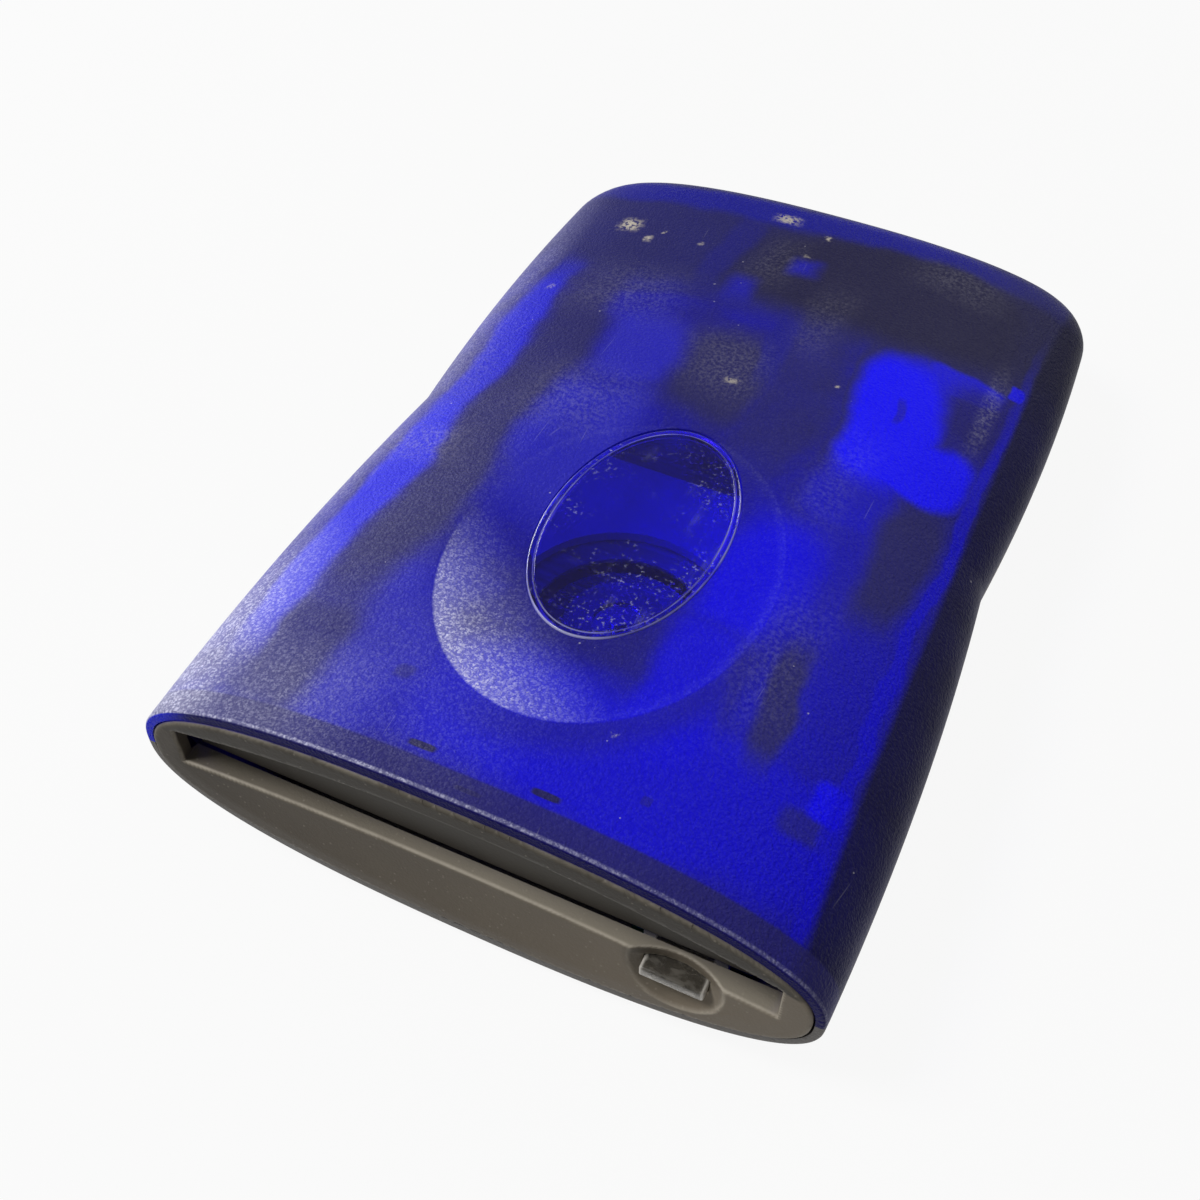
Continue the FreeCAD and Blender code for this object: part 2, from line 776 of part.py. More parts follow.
def topCover():
    front = dishStations()
    outer = Part.makeLoft([topSection(depth) for depth in
                           caseDepths([0, front[0] / 2] + front + evenly(dishEnd, cornerStart, 4), 0)], True, True)
    drop = size["dishHollow"]
    inner = [-1, front[0] - 3 * drop, front[0] - drop] + evenly(front[0], size["waistDepth"], 3)
    inner += [size["waistDepth"], dishEnd, dishEnd + 2 * drop] + evenly(dishEnd, cornerStart, 3)[1:]
    core = hollow(1, size["shellWall"], size["sideWall"], inner)
    middle = hollow(1, size["shellWall"] / 2, size["sideWall"] / 2, [-1, size["waistDepth"]] + inner[-2:])
    parting = size["partingHeight"]
    high = parting + size["frontRise"]
    bosses = [column(x, depth, size["bossRadius"], parting, high).common(middle) for x, depth in bossPlaces]
    shell = outer.cut(core).fuse(bosses)
    holes = [column(x, depth, size["screwRadius"], parting, parting + size["screwReach"] + 1)
             for x, depth in bossPlaces]
    holes.append(windowOval(size["windowHalfWidth"], size["windowHalfLength"]))
    return shell.cut(holes)


def windowLens():
    """An oval lens: a domed plug that fills the opening, and a lip that lies under the roof."""
    gap = size["windowGap"]
    parting = size["partingHeight"]
    reach = size["windowHalfLength"] + size["windowLip"]
    across = size["windowHalfWidth"] + size["windowLip"]
    ceiling = topRise(size["windowDepth"]) + parting - size["shellWall"] - size["dishHollow"]
    plug = windowOval(size["windowHalfWidth"] - gap, size["windowHalfLength"] - gap)
    lip = windowOval(across, reach)
    slab = Part.makeBox(4 * across, 4 * reach, size["windowLipThickness"],
                        Vector(-2 * across, -2 * reach, -size["windowLipThickness"] - gap / 3))
    lip = lip.common(lean(slab, size["windowDepth"], ceiling))
    acrossRadius = size["windowHalfWidth"] ** 2 / (2 * size["windowCrown"])
    alongRadius = size["windowHalfLength"] ** 2 / (2 * size["windowArch"])
    dome = Part.makeTorus(alongRadius - acrossRadius, acrossRadius)
    dome.rotate(Vector(0, 0, 0), Vector(0, 0, 1), 90)
    dome.rotate(Vector(0, 0, 0), Vector(0, 1, 0), 90)
    dome.translate(Vector(0, 0, -alongRadius))
    body = Part.makeBox(4 * across, 4 * reach, 2 * size["frontRise"],
                        Vector(-2 * across, -2 * reach, -size["frontRise"]))
    top = parting + topRise(size["windowDepth"]) - size["dishHollow"] + size["windowRise"]
    dome = lean(dome.common(body), size["windowDepth"], top)
    below = Part.makeBox(4 * across, 4 * reach, size["frontRise"], Vector(-2 * across, -2 * reach, -size["frontRise"]))
    below.translate(Vector(0, 0, -size["windowLipThickness"] - gap / 3))
    return plug.common(dome).cut(lean(below, size["windowDepth"], ceiling)).fuse(lip).removeSplitter()


def bottomCover():
    waist = size["waistDepth"]
    stations = [0] + evenly(0, waist, 5) + [waist] + evenly(waist, cornerStart, 4)
    outer = Part.makeLoft([bottomSection(depth) for depth in caseDepths(stations, 0)], True, True)
    inner = [-1] + evenly(0, waist, 4) + [waist] + evenly(waist, cornerStart, 3)
    core = hollow(-1, size["shellWall"], size["sideWall"], inner)
    middle = hollow(-1, size["shellWall"] / 2, size["sideWall"] / 2, inner)
    parting = size["partingHeight"]
    posts = [(x, depth, size["bossRadius"], parting) for x, depth in bossPlaces]
    posts += [(side * size["mainPostX"], size[depth], size["postRadius"], size["mainBoardHeight"])
              for depth in ("mainPostFrontDepth", "mainPostRearDepth") for side in (-1, 1)]
    posts += [(side * size["rearPostX"], size["rearPostDepth"], size["postRadius"], size["rearBoardHeight"])
              for side in (-1, 1)]
    posts += [(size["buttonX"] + side * size["switchPostX"], size["switchPostDepth"], size["postRadius"],
               size["switchBoardHeight"]) for side in (-1, 1)]
    posts += [(x, depth, size["postRadius"], size["chassisLow"]) for x, depth in framePlaces]
    posts = [column(x, depth, radius, 0, top).common(middle) for x, depth, radius, top in posts]
    padBottom = size["footPadBottom"]
    pads = [column(x, depth, size["footRadius"] + size["footPadWall"], padBottom,
                   padBottom + size["footPadHeight"], size["footSides"]).cut(core) for x, depth in footPlaces]
    shell = outer.cut(core).fuse(posts + pads)
    gap = size["screwGap"]
    holes = [column(x, depth, size["screwRadius"] + gap, 0, parting) for x, depth in bossPlaces]
    holes += [column(x, depth, size["screwHeadRadius"] + gap, 0, size["bossSeatHeight"]) for x, depth in bossPlaces]
    holes += [column(x, depth, size["footRadius"] + size["footGap"], 0, size["footThickness"], size["footSides"])
              for x, depth in footPlaces]
    holes += [column(x, depth, size["screwRadius"], size["chassisLow"] - size["frameScrewReach"],
                     size["chassisLow"]) for x, depth in framePlaces]
    wide = size["socketWidth"] + 2 * size["socketGap"]
    wallStart = size["rear"] - 2 * size["shellWall"]
    holes.append(Part.makeBox(wide, 3 * size["shellWall"], parting,
                              Vector(size["socketX"] - wide / 2, wallStart, size["rearBoardTop"] - size["socketGap"])))
    holes.append(Part.makeCylinder(size["pinholeRadius"], 3 * size["shellWall"],
                                   Vector(size["pinholeX"], wallStart, size["pinholeHeight"]), Vector(0, 1, 0)))
    return shell.cut(holes)


def faceRing(y, inset):
    """The bezel's outline at y: two half sections drawn in by an inset."""
    width = size["frontHalfWidth"] - size["sideWall"] - size["bezelGap"] - inset
    high = size["frontRise"] - size["shellWall"] - size["bezelGap"] - inset
    low = size["lowerShellDepth"] - size["shellWall"] - size["bezelGap"] - inset
    over = sectionPoints(y - size["rim"], width, high, int(size["hollowFlats"]))
    under = [Vector(-point.x, point.y, 2 * size["partingHeight"] - point.z)
             for point in sectionPoints(y - size["rim"], width, low, int(size["hollowFlats"]))]
    return Part.makePolygon(over + under[1:])


def mouth(front, back, flare, arch):
    """The slot's opening: a level floor, upright ends and an arched top."""
    wires = []
    for y, extra in ((front, flare), (back, 0)):
        half = size["slotHalfWidth"] + extra
        low = size["bayFloorHeight"]
        side = low + size["mouthSideHeight"]
        corners = [Vector(-half, y, side), Vector(-half, y, low), Vector(half, y, low), Vector(half, y, side)]
        crest = Vector(0, y, side + arch)
        edges = [straight(corners[index], corners[index + 1]) for index in range(3)]
        wires.append(Part.Wire(edges + [Part.Arc(corners[3], crest, corners[0]).toShape()]))
    return Part.makeLoft(wires, True, True)


def frontBezel():
    face, back = size["face"], size["bezelBack"]
    edge = size["bezelEdge"]
    plateBack = face + size["bezelPlate"]
    rings = [faceRing(face, edge), faceRing(face + edge * 0.3, edge * 0.3), faceRing(face + edge, 0),
             faceRing(back, 0)]
    wall = size["bezelFlangeWall"]
    block = Part.makeLoft(rings, True, True)
    room = Part.makeLoft([faceRing(plateBack, wall), faceRing(back + 1, wall)], True, True)
    half = size["slotHalfWidth"]
    floor = size["bayFloorHeight"]
    ledge = Part.makeBox(2 * half, size["rim"] + size["ledgeReach"] - plateBack, size["ledgeThickness"],
                         Vector(-half, plateBack, floor - size["ledgeThickness"]))
    ears = []
    for side in (-1, 1):
        start = side * (size["flapUpperHalfWidth"] + size["flapEarGap"]) - (size["flapEarThickness"] if side < 0 else 0)
        pivot = Vector(start, size["flapY"], size["flapPivotHeight"])
        radius = size["flapEarRadius"]
        ear = Part.makeBox(size["flapEarThickness"], size["flapY"] - plateBack, 2 * radius,
                           Vector(start, plateBack, size["flapPivotHeight"] - radius))
        ear = ear.fuse(Part.makeCylinder(radius, size["flapEarThickness"], pivot, Vector(1, 0, 0)))
        bore = Part.makeCylinder(size["flapPinRadius"] + size["pinGap"], size["flapEarThickness"],
                                 pivot, Vector(1, 0, 0))
        ears.append(ear.cut(bore))
    boss = Part.makeCylinder(size["scoopRadius"] + size["scoopWall"], back - plateBack,
                             Vector(size["buttonX"], plateBack, size["scoopHeight"]), Vector(0, 1, 0))
    hooks = [Part.makeBox(size["hookWidth"], size["hookLength"], size["hookThickness"],
                          Vector(x - size["hookWidth"] / 2, back - 1,
                                 size["partingHeight"] + size["frontRise"] - size["shellWall"]
                                 - size["bezelGap"] - wall)) for x in (size["leftHookX"], size["rightHookX"])]
    solid = block.cut(room).fuse([ledge, boss] + ears + hooks)
    ball = (size["scoopRadius"] ** 2 + size["scoopHollow"] ** 2) / (2 * size["scoopHollow"])
    scoop = Part.makeSphere(ball, Vector(size["buttonX"], face + size["scoopHollow"] - ball, size["scoopHeight"]))
    wide = size["buttonWidth"] + 2 * size["buttonGap"]
    tall = size["buttonThickness"] + 2 * size["buttonGap"]
    aperture = Part.makeBox(wide, 2 * (back - face), tall,
                            Vector(size["buttonX"] - wide / 2, face, size["buttonHeight"] - tall / 2))
    across = size["faceHollowHalfHeight"] ** 2 / (2 * size["faceHollow"])
    along = size["faceHollowHalfWidth"] ** 2 / (2 * size["faceHollow"])
    dish = Part.makeTorus(along - across, across)
    dish.translate(Vector(0, face + size["faceHollow"] - along, size["faceHollowHeight"]))
    near = Part.makeBox(4 * half, 2 * size["bezelPlate"], 4 * floor,
                        Vector(-2 * half, face - size["bezelPlate"], -floor))
    openings = [mouth(face - 1, plateBack, size["mouthFlare"], size["mouthArchRise"]),
                mouth(plateBack, back + 1, 0, size["mouthRearArchRise"])]
    return solid.cut(openings + [dish.common(near), scoop, aperture])


def footAndScrews():
    feet = [smallRod(f"foot_{index}", x, f"rim + {depth}", "0", "footRadius", "footThickness", "z", "footSides")
            for index, (x, depth) in enumerate((side + "footX", depth) for side in ("", "-")
                                               for depth in ("footFrontDepth", "footRearDepth"))]
    keep(fuse("feet", feet), "rubber_feet")
    screws = []
    for x, depth in (("bossX", "bossDepth"), ("rearBossX", "rearBossDepth")):
        for side in ("", "-"):
            name = f"screw_{len(screws)}"
            head = smallRod(name + "_head", side + x, f"rim + {depth}", "bossSeatHeight - screwHeadHeight",
                       "screwHeadRadius", "screwHeadHeight")
            shank = smallRod(name + "_shank", side + x, f"rim + {depth}", "bossSeatHeight", "screwRadius",
                        "partingHeight - bossSeatHeight + screwReach")
            screws.append(fuse(name, [head, shank]))
    keep(fuse("screws", screws), "case_screws")
    frameScrews = []
    for x, depth in (("chassisFrontScrewX", "chassisFrontScrewDepth"), ("chassisRearScrewX", "chassisRearScrewDepth")):
        for side in ("", "-"):
            name = f"frame_screw_{len(frameScrews)}"
            head = smallRod(name + "_head", side + x, f"rim + {depth}", "chassisFloorTop", "screwHeadRadius",
                       "frameScrewHead")
            shank = smallRod(name + "_shank", side + x, f"rim + {depth}", "chassisLow - frameScrewReach + screwGap",
                        "screwRadius", "frameScrewReach + steel - screwGap")
            frameScrews.append(fuse(name, [head, shank]))
    keep(fuse("frame_screws", frameScrews), "chassis_screws")


def chassis():
    body = newBody("chassis")
    halfOutline = [("chassisHalfWidth", "chassisFrontDepth"), ("chassisHalfWidth", "chassisBayEndDepth"),
                   ("chassisShoulderHalfWidth", "chassisBayEndDepth"),
                   ("chassisShoulderHalfWidth", "chassisShoulderDepth"),
                   ("chassisTailHalfWidth", "chassisShoulderDepth"), ("chassisTailHalfWidth", "chassisEndDepth")]
    outline = [(x, f"rim + {depth}") for x, depth in halfOutline]
    outline += [(f"-{x}", y) for x, y in reversed(outline)]
    pad(body, "XY", ("chassisLow", "chassisFloorTop"), [outline])
    flanges = [rectangle(span(side, "flangeInner", "chassisHalfWidth"),
                         ("rim + chassisFrontDepth", "rim + chassisBayEndDepth")) for side in (1, -1)]
    pad(body, "XY", ("chassisFloorTop", "chassisFloorTop + chassisFlangeHeight"), flanges)
    brackets = [rectangle((f"{centre} - springBracketHalfWidth", f"{centre} + springBracketHalfWidth"),
                          ("springRear", "springRear + steel")) for centre in ("springX", "-springX")]
    pad(body, "XY", ("chassisFloorTop", "springBracketTop"), brackets)
    coilWells = [rectangle(span(side, "carriageHalfWidth - coilGap", "coilOuter + coilWinding + coilGap"),
                           ("coilFront - headTravel - 2 * coilGap", "coilFront + coilLength + 2 * coilGap"))
                 for side in (1, -1)]
    notch = rectangle(("buttonX - buttonNotchHalfWidth", "buttonX + buttonNotchHalfWidth"),
                      ("rim + chassisFrontDepth", "rim + buttonNotchDepth"))
    screwHoles = [flatSided(side + x, f"rim + {depth}", "screwRadius + screwGap")
                  for x, depth in (("chassisFrontScrewX", "chassisFrontScrewDepth"),
                                   ("chassisRearScrewX", "chassisRearScrewDepth")) for side in ("", "-")]
    pocket(body, "XY", ("chassisLow", "chassisFloorTop"),
           [flatSided("0", "spindleY", "motorWellRadius", "discSides"), notch] + coilWells + screwHoles)
    pad(body, "XZ", ("springRear - springPinLength", "springRear"),
        [flatSided(x, "springHeight", "springPinRadius") for x in ("springX", "-springX")])
    keep(body, "chassis_frame")


def guideRail(side, label):
    body = newBody(label)
    foot = ("railInner - railFootWidth", "railInner", "flangeInner")
    sign = "" if side > 0 else "-"
    profile = [(foot[0], "chassisFloorTop"), (foot[2], "chassisFloorTop"),
               (foot[2], "bayFloorHeight + railWallHeight"), (foot[1], "bayFloorHeight + railWallHeight"),
               (foot[1], "bayFloorHeight"), (foot[0], "bayFloorHeight")]
    pad(body, "XZ", ("rim + railFrontDepth", "rim + railRearDepth"), [[(f"{sign}({x})", z) for x, z in profile]])
    keep(body, label)


def liftPins():
    pins = [smallRod(f"lift_pin_{side}", f"{side}liftPinX", "spindleY", "motorPlateHeight - liftPinReach", "liftPinRadius",
                "chassisLow - motorPlateHeight + liftPinReach") for side in ("", "-")]
    keep(fuse("pins", pins), "lift_pins")


def circuitBoards():
    body = newBody("mainBoard")
    pad(body, "XY", ("mainBoardHeight", "mainBoardTop"),
        [rectangle(("-mainBoardHalfWidth", "mainBoardHalfWidth"),
                   ("rim + mainBoardFrontDepth", "mainBoardRear"))])
    pocket(body, "XY", ("mainBoardHeight", "mainBoardTop"),
           [flatSided(side + "chassisRearScrewX", "rim + chassisRearScrewDepth", "postRadius + postGap")
            for side in ("", "-")])
    keep(body, "main_board")
    chips = [box(name, (f"{name}X - {name}Width / 2", f"{name}X + {name}Width / 2"),
                 (f"rim + {name}Depth - {name}Length / 2", f"rim + {name}Depth + {name}Length / 2"),
                 ("mainBoardTop", "mainBoardTop + chipHeight")) for name in ("controller", "memory", "driver")]
    chips.append(smallRod("capacitor", "capacitorX", "rim + capacitorDepth", "mainBoardTop", "capacitorRadius",
                          "capacitorHeight"))
    keep(fuse("chips", chips), "board_chips")
    rear = newBody("rearBoard")
    pad(rear, "XY", ("rearBoardHeight", "rearBoardTop"),
        [rectangle(("-rearBoardHalfWidth", "rearBoardHalfWidth"),
                   ("rearBoardFront", "rearBoardRear"))])
    keep(rear, "interface_board")
    front = newBody("switchBoard")
    pad(front, "XY", ("switchBoardHeight", "switchBoardTop"),
        [rectangle(("buttonX - switchBoardHalfWidth", "buttonX + switchBoardHalfWidth"),
                   ("rim + switchBoardFrontDepth", "rim + switchBoardRearDepth"))])
    keep(front, "switch_board")
    switch = box("switch_body", ("buttonX - switchHalfWidth", "buttonX + switchHalfWidth"),
                 ("rim + switchFrontDepth", "rim + switchRearDepth"), ("switchBoardTop", "switchBoardTop + switchHeight"))
    tip = smallRod("switch_tip", "buttonX", "rim + switchFrontDepth - switchPlungerLength", "buttonHeight",
              "switchPlungerRadius", "switchPlungerLength", "y")
    keep(fuse("switch", [switch, tip]), "eject_switch")
    lamps = [smallRod(f"lamp_{side}", f"buttonX {side} lampOffset", "rim + lampDepth", "switchBoardTop",
                 "lampRadius", "lampLength") for side in ("+", "-")]
    keep(fuse("lamps", lamps), "status_leds")


def linkRibbon():
    """A flat lead that rises from the main board and bends over to the board behind it."""
    middle = "(mainBoardRear + rearBoardFront) / 2"
    base = "mainBoardTop + ribbonRise"
    left, length = "-ribbonHalfWidth", "2 * ribbonHalfWidth"
    loop = tube("ribbon_bend", left, middle, base, "ribbonRadius", "ribbonRadius - ribbonThickness", length, "x")
    above = box("ribbon_top", (left, "ribbonHalfWidth"), (f"{middle} - ribbonRadius", f"{middle} + ribbonRadius"),
                (base, f"{base} + ribbonRadius"))
    legs = [box("ribbon_front", (left, "ribbonHalfWidth"),
                (f"{middle} - ribbonRadius", f"{middle} - ribbonRadius + ribbonThickness"), ("mainBoardTop", base)),
            box("ribbon_rear", (left, "ribbonHalfWidth"),
                (f"{middle} + ribbonRadius - ribbonThickness", f"{middle} + ribbonRadius"), ("rearBoardTop", base))]
    keep(fuse("ribbon", [common("ribbon_arch", [loop, above])] + legs), "link_ribbon")


def usbSocket():
    body = newBody("socket")
    half, shell = "socketWidth / 2", "socketShell"
    low, high = "rearBoardTop", "rearBoardTop + socketHeight"
    pad(body, "XZ", ("socketRear - socketLength", "socketRear"),
        [rectangle((f"socketX - {half}", f"socketX + {half}"), (low, high))])
    pocket(body, "XZ", ("socketRear - socketLength + socketFloor", "socketRear"),
           [rectangle((f"socketX - {half} + {shell}", f"socketX + {half} - {shell}"),
                      (f"{low} + {shell}", f"{high} - {shell}"))])
    pad(body, "XZ", ("socketRear - socketLength + socketFloor / 2", "socketRear - socketShell"),
        [rectangle(("socketX - socketTongueWidth / 2", "socketX + socketTongueWidth / 2"),
                   ("rearBoardTop + (socketHeight - socketTongueHeight) / 2",
                    "rearBoardTop + (socketHeight + socketTongueHeight) / 2"))])
    keep(body, "usb_socket")


def actuator():
    """The magnet yoke, its magnets, the shaft that the carriage slides on, and the clip at its front."""
    rearBar = box("yoke_rear", ("-outerLegOuter", "outerLegOuter"), ("yokeRear - yokeRearBar", "yokeRear"),
                  ("chassisFloorTop", "yokeTop"))
    bars = [rearBar]
    magnets = []
    for side in (1, -1):
        bars.append(box(f"yoke_outer_{side}", span(side, "outerLegInner", "outerLegOuter"), ("yokeFront", "yokeRear"),
                        ("chassisFloorTop", "yokeTop")))
        bars.append(box(f"yoke_inner_{side}", span(side, "innerLegInner", "innerLegOuter"), ("yokeFront", "yokeRear"),
                        ("innerLegLow", "innerLegHigh")))
        bars.append(box(f"yoke_front_{side}", span(side, "innerLegInner", "outerLegOuter"),
                        ("yokeFront", "yokeFront + yokeFrontBar"), ("chassisFloorTop", "yokeTop")))
        magnets.append(box(f"magnet_{side}", span(side, "outerLegInner - magnetThickness", "outerLegInner"),
                           ("yokeFront + yokeFrontBar + magnetEndGap", "yokeRear - yokeRearBar - magnetEndGap"),
                           ("innerLegLow", "innerLegHigh")))
    bore = rod("yoke_bore", "0", "yokeRear - yokeRearBar", "shaftHeight", "shaftRadius", "yokeRearBar", "y")
    keep(cut("yoke", fuse("yoke_bars", bars), [bore]), "actuator_yoke")
    keep(fuse("magnets", magnets), "actuator_magnets")
    keep(rod("shaft", "0", "rim + clipDepth", "shaftHeight", "shaftRadius", "yokeRear - (rim + clipDepth)", "y"),
         "guide_shaft")
    block = box("clip_block", ("-clipHalfWidth", "clipHalfWidth"), ("rim + clipDepth", "rim + clipDepth + clipThickness"),
                ("chassisFloorTop", "lowerArmHeight - clipArmGap"))
    seat = rod("clip_seat", "0", "rim + clipDepth", "shaftHeight", "shaftRadius", "clipThickness", "y")
    keep(cut("clip", block, [seat]), "shaft_clip")


def solenoid():
    frame = box("solenoid_frame", ("solenoidLeftX", "solenoidRightX"),
                ("plungerY - solenoidHalfDepth", "plungerY + solenoidHalfDepth"),
                ("chassisFloorTop", "chassisFloorTop + solenoidHeight"))
    bore = rod("solenoid_bore", "solenoidLeftX", "plungerY", "plungerHeight", "plungerRadius + plungerGap",
               "solenoidRightX - solenoidLeftX - plungerHead", "x")
    keep(cut("solenoid", frame, [bore]), "eject_solenoid")
    collar = rod("pivot_collar", "latchX", "latchY", "chassisFloorTop", "latchCollarRadius",
                 "latchLow - chassisFloorTop")
    pin = rod("pivot_pin", "latchX", "latchY", "latchLow", "latchPinRadius", "latchThickness + plungerHead")
    keep(fuse("pivot", [collar, pin]), "latch_pivot")


def button():
    body = newBody("button")
    stem = rectangle(("buttonX - buttonWidth / 2", "buttonX + buttonWidth / 2"), ("buttonLow", "buttonHigh"))
    pad(body, "XZ", ("face", "rim + buttonStemReach"), [stem])
    dress(body, "Fillet", "buttonCorner", lambda edge: runsAlong(edge, "y"))
    flange = rectangle(("buttonX - buttonFlangeWidth / 2", "buttonX + buttonFlangeWidth / 2"),
                       ("buttonFlangeBottom", "buttonFlangeTop"))
    pad(body, "XZ", ("buttonFlangeFront", "buttonFlangeRear"), [flange])
    keep(body, "eject_button")
    keep(tube("spring", "buttonX", "buttonFlangeRear", "buttonSpringHeight", "buttonSpringRadius",
              "buttonSpringRadius - buttonSpringWire", "rim + switchFrontDepth - (buttonFlangeRear)", "y", smallRod),
         "button_spring")


def flap():
    wideHalf = "slotHalfWidth - flapSideGap"
    depths = ("flapFront", "flapFront + flapThickness")
    wide = box("flap_wide", (f"-({wideHalf})", wideHalf), depths, ("flapBottom", "flapWideTop"))
    inner = "flapSpringX + flapSpringLength + flapEarGap / 2"
    upper = box("flap_upper", (inner, "flapUpperHalfWidth"), depths, ("flapWideTop", "flapCrown"))
    arch = rod("flap_arch", "0", "flapFront", "flapCrown - flapArchRadius", "flapArchRadius", "flapThickness", "y")
    barrel = rod("flap_barrel", inner, "flapY", "flapPivotHeight", "flapBarrelRadius",
                 f"flapUpperHalfWidth - ({inner})", "x")
    web = box("flap_web", (inner, "flapUpperHalfWidth"), ("flapFront", "flapY"),
              ("flapPivotHeight - flapPinRadius", "flapPivotHeight + flapPinRadius"))
    pin = rod("flap_pin", "-flapPinEnd", "flapY", "flapPivotHeight", "flapPinRadius", "2 * flapPinEnd", "x")
    keep(fuse("flap", [wide, common("flap_top", [upper, arch]), barrel, web, pin]), "slot_flap")
    keep(tube("return_spring", "flapSpringX", "flapY", "flapPivotHeight", "flapPinRadius + pinGap + flapSpringWall",
              "flapPinRadius + pinGap", "flapSpringLength", "x", smallRod), "flap_spring")


def sled():
    body = newBody("sled")
    pad(body, "XY", ("sledLow", "sledTop"),
        [rectangle(("-sledHalfWidth", "sledHalfWidth"), ("rim + sledFrontDepth", "sledRear"))])
    ends = ("spindleY", "spindleY - sledTravel")
    for end in ends:
        pad(body, "XY", ("sledTop", "sledTop + sledRimHeight"),
            [flatSided("0", end, "sledHoleRadius + sledRimWidth", "discSides")])
    holes = [flatSided("0", end, "sledHoleRadius", "discSides") for end in ends]
    holes.append(rectangle(("-sledHoleRadius", "sledHoleRadius"), ("spindleY - sledTravel", "spindleY")))
    for hole in holes:
        pocket(body, "XY", ("sledLow", "sledTop + sledRimHeight"), [hole])
    tabs = [rectangle(span(side, "sledTabInner", "sledHalfWidth"), ("sledRear - sledTabThickness", "sledRear"))
            for side in (1, -1)]
    pad(body, "XY", ("sledTop", "sledTabTop"), tabs)
    keep(body, "disk_sled")
    keep(box("sled_catch_bar", ("catchX - catchWidth / 2", "catchX + catchWidth / 2"),
             ("sledRear", "sledRear + catchReach"), ("sledLow", "catchTop")), "sled_catch")
    springs = [tube(f"sled_spring_{side}", f"{side}springX", "sledRear", "springHeight", "springRadius",
                    "springRadius - springWire", "springRear - (sledRear)", "y", smallRod) for side in ("", "-")]
    keep(fuse("springs", springs), "sled_springs")


def motor():
    body = newBody("motorPlate")
    pad(body, "XY", ("motorPlateHeight", "motorPlateTop"),
        [rectangle(("-motorPlateHalfWidth", "motorPlateHalfWidth"),
                   ("spindleY - motorPlateHalfLength", "spindleY + motorPlateHalfLength"))])
    pocket(body, "XY", ("motorPlateHeight", "motorPlateTop"),
           [circle("0", "spindleY", "bearingRadius"), circle("liftPinX", "spindleY", "liftPinRadius + pinGap"),
            circle("-liftPinX", "spindleY", "liftPinRadius + pinGap")])
    keep(body, "motor_plate")
    keep(tube("bearing", "0", "spindleY", "motorPlateHeight", "bearingRadius", "spindleRadius + pinGap",
              "statorTop - motorPlateHeight"), "motor_bearing")
    ring = tube("stator_ring", "0", "spindleY", "motorPlateTop", "statorRadius", "bearingRadius", "statorHeight")
    slots = []
    for pole in range(int(size["statorPoles"])):
        slot = document.addObject("Part::Box", f"stator_slot_{pole}")
        bind(slot, Length="statorSlotDepth", Width="statorSlot", Height="statorHeight")
        turn = FreeCAD.Rotation(Vector(0, 0, 1), 360 * pole / size["statorPoles"])
        start = Vector(size["statorRadius"] - size["statorSlotDepth"], -size["statorSlot"] / 2, 0)
        slot.Placement = FreeCAD.Placement(Vector(0, size["spindleY"], size["motorPlateTop"]) + turn.multVec(start), turn)
        slots.append(slot)
    keep(cut("stator", ring, slots), "motor_stator")
    rotor = newBody("rotor")
    pad(rotor, "XY", ("rotorCeiling", "rotorTop"), [flatSided("0", "spindleY", "rotorRadius", "discSides")])
    pad(rotor, "XY", ("rotorTop", "hubTop - magnetRingDepth"), [flatSided("0", "spindleY", "hubRadius", "discSides")])
    pad(rotor, "XY", ("motorPlateHeight + motorPlateThickness / 2", "spindleTop"),
        [circle("0", "spindleY", "spindleRadius")])
    keep(rotor, "spindle_rotor")
    ringMagnet = tube("hub_ring", "0", "spindleY", "hubTop - magnetRingDepth", "magnetRingOuter", "magnetRingInner",
                      "magnetRingDepth")
    pin = smallRod("drive_pin", "drivePinOffset", "spindleY", "hubTop", "drivePinRadius", "spindleTop - hubTop")
    keep(fuse("hub_magnet_set", [ringMagnet, pin]), "hub_magnet")


def headCarriage():
    block = box("carriage_block", ("-(carriageHalfWidth)", "carriageHalfWidth"), ("carriageFront", "carriageRear"),
                ("carriageLow", "carriageTop"))
    bore = rod("carriage_bore", "0", "carriageFront", "shaftHeight", "shaftRadius + pinGap",
               "carriageRear - carriageFront", "y")
    keep(cut("carriage", block, [bore]), "head_carriage")
    coils = []
    for side in (1, -1):
        depths = ("coilFront", "coilFront + coilLength")
        outside = box(f"coil_{side}", span(side, "coilInner - coilWinding", "coilOuter + coilWinding"), depths,
                      ("coilLow - coilWinding", "coilHigh + coilWinding"))
        inside = box(f"coil_room_{side}", span(side, "coilInner", "coilOuter"), depths, ("coilLow", "coilHigh"))
        coils.append(cut(f"coil_loop_{side}", outside, [inside]))
    keep(fuse("coils", coils), "voice_coils")
    arms = newBody("arms")
    outline = [("armHalfWidth", "carriageFront"), ("-armHalfWidth", "carriageFront"),
               ("-armTipHalfWidth", "armTip"), ("armTipHalfWidth", "armTip")]
    pad(arms, "XY", ("lowerArmHeight", "lowerArmHeight + armThickness"), [outline])
    upper = newBody("upperArm")
    pad(upper, "XY", ("upperArmHeight", "upperArmHeight + armThickness"), [outline])
    keep(fuse("arm_pair", [arms, upper]), "head_arms")
    depths = ("armTip", "armTip + headSide")
    heads = [box("lower_head", ("-headSide / 2", "headSide / 2"), depths,
                 ("lowerArmHeight + armThickness", "lowerArmHeight + armThickness + headHeight")),
             box("upper_head", ("-headSide / 2", "headSide / 2"), depths,
                 ("upperArmHeight - headHeight", "upperArmHeight"))]
    keep(fuse("heads", heads), "recording_heads")


